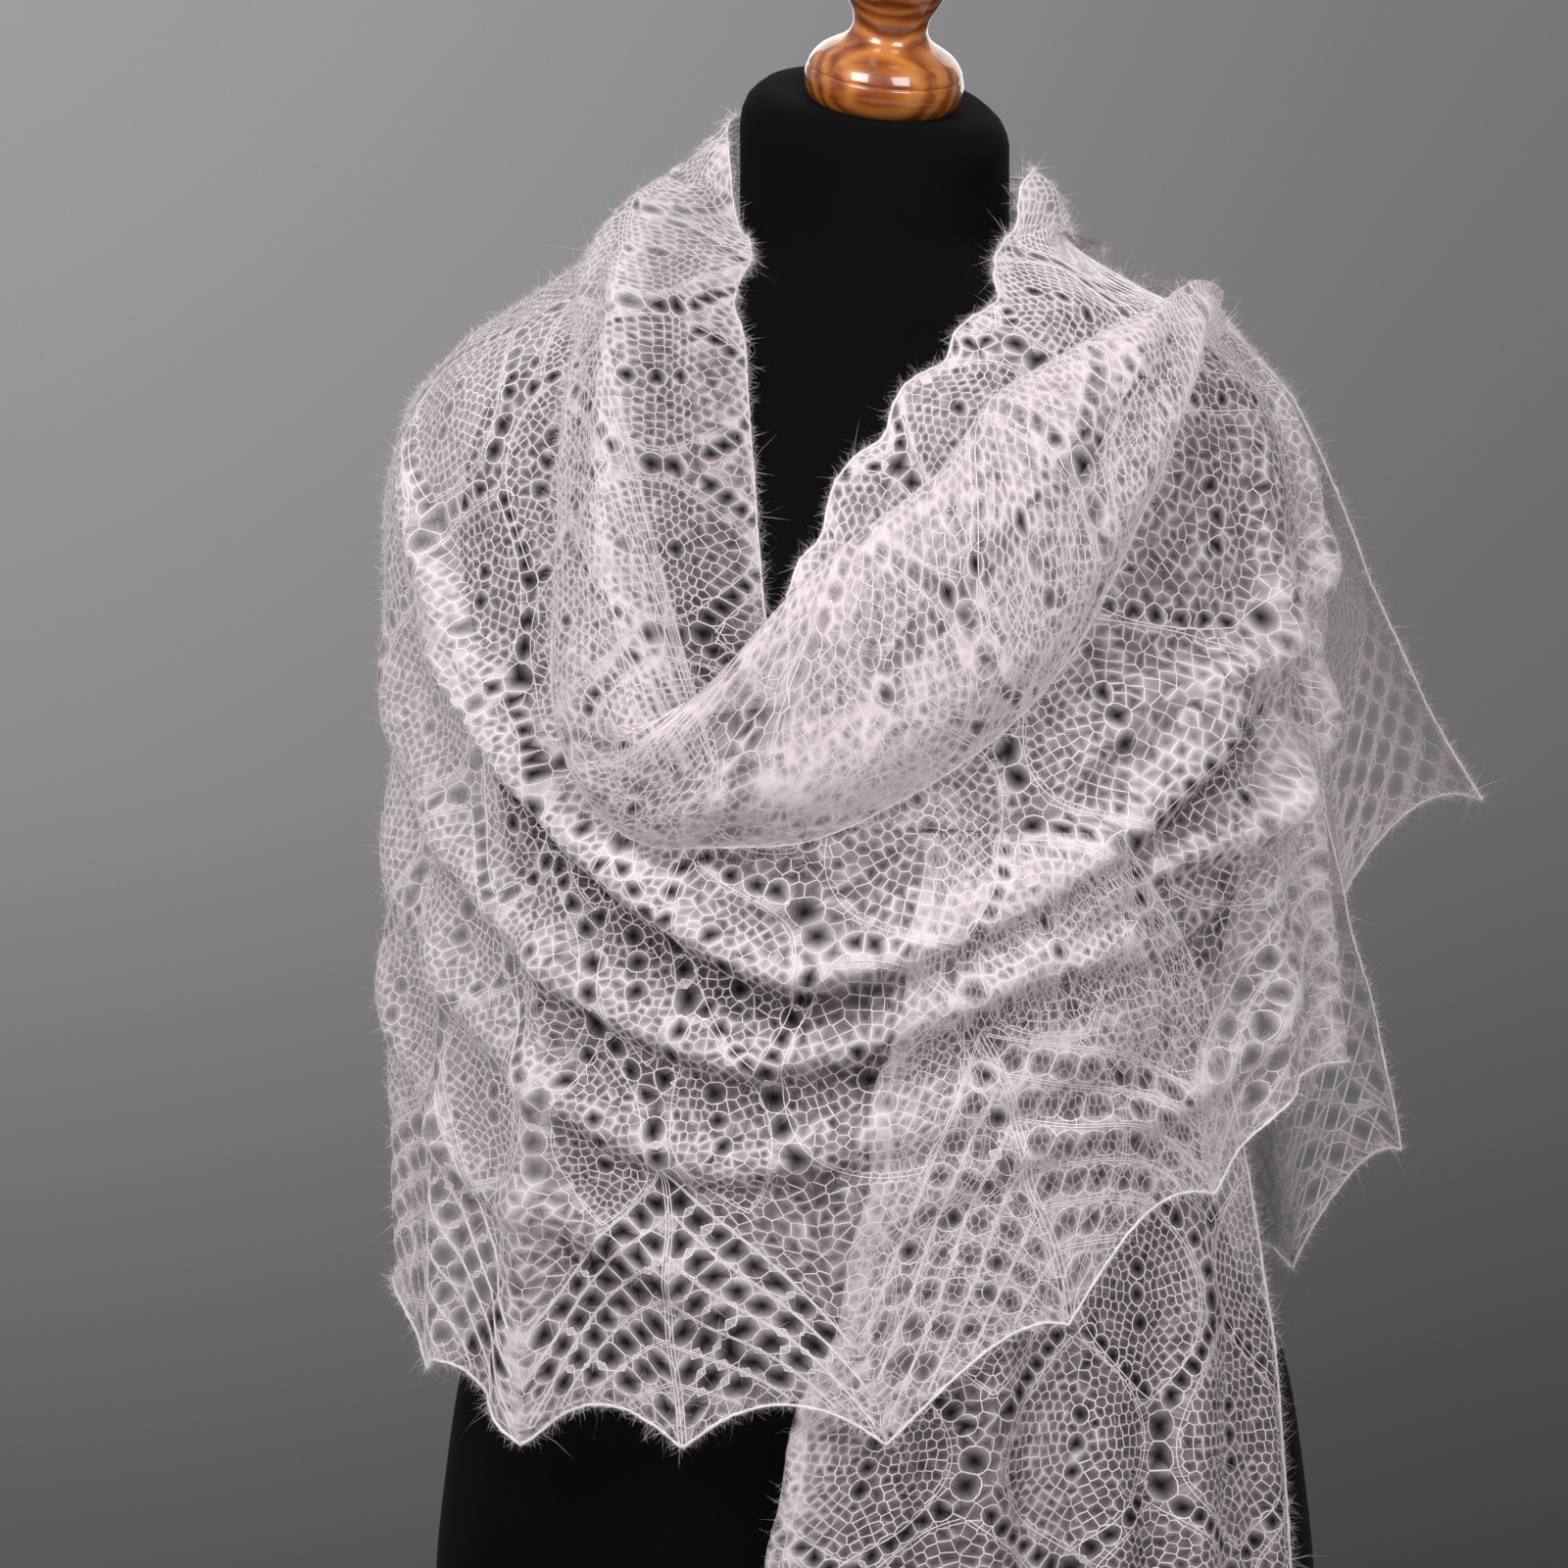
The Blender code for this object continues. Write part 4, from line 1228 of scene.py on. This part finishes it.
def jersey_material():
    material, tree, shader = new_material("black_jersey")
    fine = noise(tree, 1800, 2)
    broad = noise(tree, 14, 3)
    mixed = maths(tree, "MULTIPLY_ADD", fine, 0.5)
    tree.links.new(broad, mixed.node.inputs[2])
    colour = ramp(tree, mixed, [(0.4, (0.0010, 0.0010, 0.0012)), (1.0, (0.0032, 0.0032, 0.0037))])
    tree.links.new(colour, shader.inputs["Base Color"])
    shader.inputs["Roughness"].default_value = 0.9
    shader.inputs["Sheen Weight"].default_value = 0.01
    shader.inputs["Sheen Roughness"].default_value = 0.4
    shader.inputs["Specular IOR Level"].default_value = 0.06
    add_bump(tree, shader, fine, 0.25, 0.0003)
    return material


def wood_material():
    material, tree, shader = new_material("varnished_wood")
    place = add_node(tree, "ShaderNodeTexCoord")
    mapping = add_node(tree, "ShaderNodeMapping")
    mapping.inputs["Scale"].default_value = (0.2, 1.0, 1.0)
    mapping.inputs["Rotation"].default_value = (0.0, 0.16, 0.1)
    tree.links.new(place.outputs["Object"], mapping.inputs["Vector"])
    warp = add_node(tree, "ShaderNodeTexNoise")
    warp.inputs["Scale"].default_value = 28
    warp.inputs["Detail"].default_value = 4
    tree.links.new(mapping.outputs["Vector"], warp.inputs["Vector"])
    wave = add_node(tree, "ShaderNodeTexWave", wave_type="RINGS", rings_direction="X")
    wave.inputs["Scale"].default_value = 46
    wave.inputs["Distortion"].default_value = 5.5
    wave.inputs["Detail"].default_value = 3
    wave.inputs["Detail Scale"].default_value = 1.6
    tree.links.new(mapping.outputs["Vector"], wave.inputs["Vector"])
    streak = add_node(tree, "ShaderNodeTexNoise")
    streak.inputs["Scale"].default_value = 240
    streak.inputs["Detail"].default_value = 3
    tree.links.new(mapping.outputs["Vector"], streak.inputs["Vector"])
    grain = maths(tree, "MULTIPLY_ADD", wave.outputs["Fac"], 0.45)
    tree.links.new(maths(tree, "MULTIPLY", streak.outputs["Fac"], 0.6), grain.node.inputs[2])
    both = maths(tree, "MULTIPLY_ADD", warp.outputs["Fac"], 0.35)
    tree.links.new(grain, both.node.inputs[2])
    colour = ramp(
        tree,
        both,
        [
            (0.30, (0.11, 0.022, 0.003)),
            (0.50, (0.24, 0.054, 0.008)),
            (0.72, (0.40, 0.112, 0.018)),
            (0.95, (0.53, 0.19, 0.040)),
        ],
    )
    tree.links.new(colour, shader.inputs["Base Color"])
    shader.inputs["Roughness"].default_value = 0.28
    shader.inputs["Coat Weight"].default_value = 0.9
    shader.inputs["Coat Roughness"].default_value = 0.05
    add_bump(tree, shader, streak.outputs["Fac"], 0.12, 0.0002)
    return material


def floor_material():
    material, tree, shader = new_material("studio_floor")
    colour = ramp(tree, noise(tree, 3, 2), [(0.0, (0.52, 0.52, 0.53)), (1.0, (0.58, 0.58, 0.59))])
    tree.links.new(colour, shader.inputs["Base Color"])
    shader.inputs["Roughness"].default_value = 0.9
    return material


YARN = yarn_material()
HAZE = veil_material()
FIBRE = fibre_material()
JERSEY = jersey_material()
WOOD = wood_material()


def keep(piece, slot, *nodes):
    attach(piece, "root")
    if nodes:
        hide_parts(*nodes)
    return piece


# The cloth


RIM_HAZE = 0.62
FINE_HAZE = 0.38
RIB_HAZE = 0.62
EYELET_HAZE = 0.07
HAZE_SPREAD = 0.2
# How far the haze follows the net's bunching on fold crests and the painted shade in the hollows
# under the wrap's folds, in the roll's fold valleys and over the fall.
BUNCHING_AND_SHADE_HAZE = 0.5
HEM_HAIRS = 24
HAIR_WIDTHS = (0.055, 0.115)


def cell_veil(name, net, own, places, centres, crest, rng):
    """Haze in the cells: thick beside the strands and thin at the middle of each cell."""
    rim_a, rim_b, middle = [], [], []
    for column in (0, 1):
        cell = net["cells"][:, column]
        mine = own[cell]
        rim_a.append(net["strands"][mine, 0])
        rim_b.append(net["strands"][mine, 1])
        middle.append(cell[mine])
    rim_a, rim_b, middle = (np.concatenate(x) for x in (rim_a, rim_b, middle))
    a, b, c = net["plane"][rim_a], net["plane"][rim_b], net["places"][middle]
    ahead = (b[:, 0] - a[:, 0]) * (c[:, 1] - a[:, 1]) - (b[:, 1] - a[:, 1]) * (c[:, 0] - a[:, 0])
    first = np.where(ahead > 0, rim_a, rim_b)
    second = np.where(ahead > 0, rim_b, rim_a)
    used_rim, rim_index = np.unique(np.concatenate([first, second]), return_inverse=True)
    used_cell, cell_index = np.unique(middle, return_inverse=True)
    n = len(first)
    faces = np.stack([rim_index[:n], rim_index[n:], len(used_rim) + cell_index], -1)
    vertices = np.concatenate([places[used_rim], centres[used_cell]])
    obj = build_mesh(name, vertices, faces, HAZE)
    level = np.array([FINE_HAZE, RIB_HAZE, EYELET_HAZE])[net["kinds"][used_cell]]
    values = np.concatenate([np.full(len(used_rim), RIM_HAZE), level])
    chart = np.concatenate([net["nodes"][used_rim], net["seeds"][used_cell]])
    # Thicker haze where the net bunches on fold crests, and thinner haze where shade is painted:
    # under the wrap's folds, in the roll's fold valleys and over the whole fall.
    bunching_and_shade = 1 + BUNCHING_AND_SHADE_HAZE * np.clip(crest(chart[:, 0], chart[:, 1]), -0.7, 1.2)
    values = np.clip(values * bunching_and_shade * rng.normal(1, HAZE_SPREAD, len(values)), 0.02, 0.92)
    layer = obj.data.attributes.new("haze", "FLOAT", "POINT")
    layer.data.foreach_set("value", values.astype(np.float32))
    return obj


def long_strands(drape, lines, half_width, full):
    """The pattern's long strands, laid on the cloth."""
    path, around = draped(drape, np.concatenate(lines))
    path = path + around * 0.2
    ends = np.cumsum([len(line) for line in lines]) - 1
    a = np.setdiff1d(np.arange(len(path) - 1), ends)
    width = np.full(len(a), half_width)
    return strand_mesh(path[a], path[a + 1], around[a], around[a + 1], width, full=full)


def cloth_pieces(node, drape, crest, net, part, rng, cords, hairs, full=True):
    """Net, veil, cords and fibres of one stretch. part picks the cells and strands that belong,
    and crest thickens the haze where the net bunches and thins it where shade is painted.
    """
    places, normals = draped(drape, net["nodes"])
    centre = net["nodes"][net["strands"]].mean(1)
    own = part(centre[:, 0])
    strands = net["strands"][own]
    cells = net["cells"][own]
    kinds = net["kinds"][cells]
    eyelet = (kinds == 2).any(1)
    both_rib = (kinds == 1).all(1)
    one_rib = (kinds == 1).any(1) & ~both_rib
    width = np.full(len(strands), 0.18)
    width[both_rib] = 0.15
    width[one_rib] = 0.2
    width[eyelet] = 0.22
    width *= rng.uniform(0.75, 1.25, len(width))
    a, b = strands[:, 0], strands[:, 1]
    length = np.linalg.norm(places[a] - places[b], axis=1)
    solid = length > 0.05
    bowed = (length > 1.8) & eyelet & ~(kinds == 2).all(1)
    plain = solid & ~bowed
    ends = [places[a[plain]], places[b[plain]], normals[a[plain]], normals[b[plain]]]
    parts = [strand_mesh(*ends, width[plain], full=full)]
    if bowed.any():
        pair = cells[bowed]
        hole = np.where(net["kinds"][pair[:, 0]] == 2, pair[:, 0], pair[:, 1])
        middle = centre[own][bowed]
        outward = middle - net["seeds"][hole]
        outward /= np.maximum(np.linalg.norm(outward, axis=1, keepdims=True), 1e-6)
        chord = np.linalg.norm(net["nodes"][a[bowed]] - net["nodes"][b[bowed]], axis=1)
        sag = np.minimum(chord**2 / (8 * net["size"][hole]), 0.7)
        sag[middle[:, 1] < 1] = 0
        bow_place, _ = draped(drape, middle + outward * sag[:, None])
        ends = [places[a[bowed]], places[b[bowed]], normals[a[bowed]], normals[b[bowed]]]
        parts.append(strand_mesh(*ends, width[bowed], bow=bow_place, full=full))
    lines = [line for line in net["lines"] if part(line.mean(0)[:1])[0]]
    if lines:
        parts.append(long_strands(drape, lines, LINE_HALF_WIDTH, full))
    hem_roots, hem_normals = [], []
    for line, radius in cords:
        path, around = draped(drape, line)
        for _ in range(2):
            wobble = rng.normal(0, 0.16, (len(path), 3))
            thick = 0.6 * radius * rng.uniform(0.85, 1.15, len(path))
            parts.append(tube(path + wobble, around, thick))
        many = max(2, int(len(path) * HEM_HAIRS))
        pick = rng.integers(0, len(path) - 1, many)
        share = rng.uniform(0, 1, (many, 1))
        hem_roots.append(path[pick] * share + path[pick + 1] * (1 - share))
        hem_normals.append(around[pick])
    vertices, faces = joined(parts)
    yarn = keep(build_mesh(node + "_net", vertices, faces, YARN), "mohair_lace", node)

    seeds, _ = draped(drape, net["seeds"])
    belongs = part(net["seeds"][:, 0])
    veil = cell_veil(node + "_veil", net, belongs, places, seeds, crest, rng)
    keep(veil, "mohair_lace", node)

    a, b = a[solid], b[solid]
    loops = []
    for count, kind, longest in ((hairs, long_hairs, 14.0), (hairs * 4, short_hairs, 6.5)):
        pick = rng.integers(0, len(a), count)
        share = rng.uniform(0, 1, (count, 1))
        roots = places[a[pick]] * share + places[b[pick]] * (1 - share)
        loops.append(kind(roots, normals[a[pick]], rng, longest, (0.0, 1.0)))
    if hem_roots:
        roots = np.concatenate(hem_roots)
        around = np.concatenate(hem_normals)
        few = len(roots) // 6
        loops.append(long_hairs(roots[:: 6][:few], around[:: 6][:few], rng, 17.0, (-0.4, 0.6)))
        loops.append(short_hairs(roots, around, rng, 9.0, (-0.5, 0.5)))
    fibres = build_mesh(node + "_fibres", *joined(loops), FIBRE, smooth_faces=False)
    keep(fibres, "mohair_lace")
    return [sum(len(p.vertices) - 2 for p in o.data.polygons) for o in (yarn, veil, fibres)]


def hem_line(first, last, t=0.0, step=2.2):
    s = np.linspace(first, last, int(abs(last - first) / step) + 2)
    return np.stack([s, np.full(len(s), t)], -1)


def roll_rim(step=2.2):
    s = np.linspace(0, ROLL_LENGTH, int(ROLL_LENGTH / step))
    return np.stack([s, roll_width(s) - 0.6], -1)


def side_line(s, low, high, step=2.4):
    t = np.linspace(low, high, int(abs(high - low) / step) + 2)
    return np.stack([np.full(len(t), s), t], -1)


def everywhere(s):
    return np.ones(len(s), bool)


def between(first, last):
    return lambda s: (s >= first * SCALLOP_WIDTH) & (s < last * SCALLOP_WIDTH)


def make_shawl():
    rng = np.random.default_rng(11)
    report = []
    low = WRAP[0][0] * SCALLOP_WIDTH
    high = WRAP[-1][0] * SCALLOP_WIDTH

    def wrap_depth(s):
        return hem_depth(WRAP_TABLE, s)

    def thrown_depth(s):
        return hem_depth(THROWN_TABLE, s)

    net = net_of(
        low, high, wrap_depth, rng, to_plane=wrap_to_plane, from_plane=wrap_from_plane
    )
    stretches = (
        ("shawl_back", -8, -2, 0.45, 3400),
        ("shawl_left_shoulder", -2, 0, 0.17, 2900),
        ("shawl_front_wrap", 0, 4, 0.36, 3600),
        ("shawl_right_wrap", 4, 7, 0.30, 3100),
    )
    for node, first, last, wide, hairs in stretches:
        cords = [(hem_line(first * SCALLOP_WIDTH, last * SCALLOP_WIDTH), 0.85)]
        for end in (-8, 7):
            if end in (first, last):
                s = end * SCALLOP_WIDTH
                cords.append((side_line(s, 0, float(wrap_depth(np.array([s]))[0])), 0.6))
        deep = wrap_depth(np.linspace(first, last, 200) * SCALLOP_WIDTH)
        made = cloth_pieces(
            node,
            wrap_drape,
            wrap_bunching_and_shade,
            net,
            between(first, last + (1 if last == 7 else 0)),
            rng,
            cords,
            hairs,
            full=node == "shawl_front_wrap",
        )
        report.append((node, *made))

    last = 5 * SCALLOP_WIDTH
    net = net_of(0, last, thrown_depth, rng)
    cords = [
        (hem_line(0, last), 0.85),
        (side_line(0.0, 0, float(thrown_depth(np.array([0.0]))[0])), 0.7),
        (side_line(last, 0, float(thrown_depth(np.array([last]))[0])), 0.7),
    ]
    node = "shawl_thrown_end"
    made = cloth_pieces(
        node,
        thrown_drape,
        thrown_crest,
        net,
        everywhere,
        rng,
        cords,
        2400,
        full=False,
    )
    report.append((node, *made))

    deep = FALL_END - FALL[0][0]
    net = net_of(
        0,
        FALL_WIDTH,
        lambda s: np.full(np.shape(s), deep),
        rng,
        scallop=FALL_SCALLOP,
        leaf_pitch=FALL_WIDTH / 3,
    )
    cords = [
        (hem_line(0, FALL_WIDTH), 0.85),
        (side_line(0.0, 0, deep), 0.7),
        (side_line(FALL_WIDTH, 0, deep), 0.7),
    ]
    node = "shawl_front_fall"
    made = cloth_pieces(
        node,
        fall_drape,
        fall_bunching_and_shade,
        net,
        everywhere,
        rng,
        cords,
        2800,
        full=False,
    )
    report.append((node, *made))

    net = net_of(0, STRIP_LENGTH, strip_width, rng, offset=95.0)
    node = "shawl_neck_strip"
    made = cloth_pieces(
        node,
        strip_drape,
        strip_crest,
        net,
        everywhere,
        rng,
        [(hem_line(0, STRIP_LENGTH), 0.8)],
        1800,
    )
    report.append((node, *made))

    net = net_of(0, ROLL_LENGTH, roll_width, rng, offset=210.0)
    node = "shawl_collar_roll"
    made = cloth_pieces(
        node,
        roll_drape,
        roll_bunching_and_shade,
        net,
        everywhere,
        rng,
        [(hem_line(0, ROLL_LENGTH, t=0.6), 0.34), (roll_rim(), 0.34)],
        5200,
    )
    report.append((node, *made))
    total = 0
    for row in report:
        print("piece", *row)
        total += sum(row[1:])
    print("cloth triangles", total)


def make_torso():
    """The padded form in jersey, with a neck top that slants."""
    steps = 96
    drops = []
    known = BODY_TABLE["drop"]
    for a, b in zip(known[:-1], known[1:]):
        count = max(2, int((b - a) / 7))
        drops += list(np.linspace(a, b, count, endpoint=False))
    drops.append(FORM_LENGTH)
    turn = np.arange(steps) * 360 / steps
    rings = []
    for drop in drops:
        ring = body_point(turn, np.full(steps, drop))
        fade = max(0.0, 1 - drop / NECK_SLANT_FADE)
        ring[:, 2] += fade * math.tan(math.radians(NECK_SLANT_FORWARD)) * ring[:, 1]
        ring[:, 2] -= fade * math.tan(math.radians(NECK_SLANT_SIDE)) * ring[:, 0]
        rings.append(ring)
    for scale in (0.8, 0.4):
        rings.insert(0, rings[0] * 1.0)
        middle = rings[0].mean(0)
        rings[0] = middle + (rings[1] - middle) * scale
    vertices = np.concatenate(rings)
    faces = []
    for ring in range(len(rings) - 1):
        for step in range(steps):
            a = ring * steps + step
            b = ring * steps + (step + 1) % steps
            faces.append([a, a + steps, b + steps, b])
    faces.append(list(range(steps)))
    faces.append(list(reversed(range((len(rings) - 1) * steps, len(rings) * steps))))
    torso = build_mesh("torso_cover", vertices, faces, JERSEY)
    return keep(torso, "black_jersey", "form_torso")


def turned(name, profile, steps=80):
    """A turned piece with a smooth profile of (radius, height) rows from top to bottom."""
    rows = np.array(profile, float)
    run = np.r_[0, np.cumsum(np.linalg.norm(np.diff(rows, axis=0), axis=1))]
    at = np.arange(0, run[-1], 1.1)
    at = np.unique(np.r_[at, run])
    radius = smooth(at, run, rows[:, 0])
    height = smooth(at, run, rows[:, 1])
    turn = np.arange(steps) * 2 * math.pi / steps
    rings = np.stack(
        [
            radius[:, None] * np.cos(turn),
            radius[:, None] * np.sin(turn),
            np.repeat(height[:, None], steps, 1),
        ],
        -1,
    )
    vertices = rings[1:-1].reshape(-1, 3)
    count = len(at) - 2
    faces = []
    for ring in range(count - 1):
        for step in range(steps):
            a = ring * steps + step
            b = ring * steps + (step + 1) % steps
            faces.append([a, a + steps, b + steps, b])
    faces.append(list(range(steps)))
    faces.append(list(reversed(range((count - 1) * steps, count * steps))))
    return build_mesh(name, vertices, faces, WOOD)


def make_wood():
    cap = (
        (0, 82),
        (10, 81),
        (18, 76),
        (22.6, 68),
        (24.0, 60),
        (23.4, 52),
        (21.0, 45),
        (18.0, 39),
        (15.8, 34.6),
        (15.2, 30.5),
        (16.2, 26.8),
        (19.2, 23.6),
        (23.6, 21.0),
        (27.8, 18.2),
        (30.6, 14.6),
        (31.6, 12.2),
        (31.2, 11.6),
        (31.9, 11.0),
        (32.6, 7.6),
        (32.0, 3.0),
        (29.8, -1.4),
        (25.5, -4.6),
        (20, -6.2),
        (0, -6.2),
    )
    finial = turned("neck_cap", cap)
    finial.location = (0.003, -0.004, NECK_TOP * MM)
    finial.rotation_euler = (
        math.radians(NECK_SLANT_FORWARD),
        math.radians(NECK_SLANT_SIDE),
        0,
    )
    bpy.context.view_layer.update()
    keep(finial, "varnished_wood", "neck_finial")
    for node in ("stand_column", "stand_base"):
        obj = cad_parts[node]
        for place in obj.material_slots:
            place.material = WOOD


def look_at(obj, target):
    obj.rotation_euler = (Vector(target) - obj.location).to_track_quat("-Z", "Y").to_euler()


def add_light(name, place, target, size, power, colour=(1, 1, 1)):
    light = bpy.data.lights.new(name, "AREA")
    light.shape = "RECTANGLE"
    light.size, light.size_y = size
    light.energy = power
    light.color = colour
    obj = bpy.data.objects.new(name, light)
    obj.location = place
    bpy.context.scene.collection.objects.link(obj)
    look_at(obj, target)
    return obj


def make_studio():
    scene = bpy.context.scene
    scene.view_settings.view_transform = "Standard"
    mesh = bpy.data.meshes.new("studio_floor")
    steps = 96
    rim = [
        (1.3 * math.cos(2 * math.pi * i / steps), 1.3 * math.sin(2 * math.pi * i / steps), -0.0005)
        for i in range(steps)
    ]
    mesh.from_pydata(rim, [], [tuple(range(steps))])
    mesh.materials.append(floor_material())
    floor = bpy.data.objects.new("studio_floor", mesh)
    bpy.context.scene.collection.objects.link(floor)

    world = bpy.data.worlds.new("studio")
    bpy.context.scene.world = world
    world.use_nodes = True
    tree = world.node_tree
    background = tree.nodes["Background"]
    place = add_node(tree, "ShaderNodeTexCoord")
    split = add_node(tree, "ShaderNodeSeparateXYZ")
    tree.links.new(place.outputs["Generated"], split.inputs["Vector"])

    def spread(source, low, high):
        node = add_node(tree, "ShaderNodeMapRange", interpolation_type="SMOOTHSTEP")
        node.inputs["From Min"].default_value = low
        node.inputs["From Max"].default_value = high
        tree.links.new(source, node.inputs["Value"])
        return node.outputs["Result"]

    across = ramp(
        tree,
        spread(split.outputs["X"], -0.16, 0.16),
        [(0.0, (1.0, 1.0, 1.0)), (0.5, (0.78, 0.775, 0.79)), (1.0, (0.505, 0.5, 0.53))],
    )
    upward = ramp(
        tree,
        spread(split.outputs["Z"], -0.2, 0.2),
        [(0.0, (0.06, 0.06, 0.06)), (0.5, (0.263, 0.263, 0.263)), (1.0, (0.37, 0.37, 0.37))],
    )
    mix = add_node(tree, "ShaderNodeMix", data_type="RGBA", blend_type="MULTIPLY")
    mix.inputs["Factor"].default_value = 1.0
    tree.links.new(across, mix.inputs["A"])
    tree.links.new(upward, mix.inputs["B"])
    tree.links.new(mix.outputs["Result"], background.inputs["Color"])
    background.inputs["Strength"].default_value = 1.0

    add_light("softbox_left", (-0.85, -1.35, 1.7), (0, 0, 0.82), (0.7, 0.9), 25)
    add_light("softbox_right", (0.75, -1.5, 1.6), (0, 0, 0.82), (0.7, 0.9), 19)
    add_light("back_light", (0.3, 2.0, 1.9), (0, 0, 0.7), (2.6, 2.0), 22)

    camera = bpy.data.cameras.new("camera")
    camera.sensor_width = 36
    camera.lens = 146.25
    camera.clip_end = 60
    eye = bpy.data.objects.new("camera", camera)
    eye.location = (-0.037, -2.6, 0.640)
    eye.rotation_euler = (math.pi / 2, 0, 0)
    bpy.context.scene.collection.objects.link(eye)
    bpy.context.scene.camera = eye


make_studio()
make_torso()
make_wood()
make_shawl()
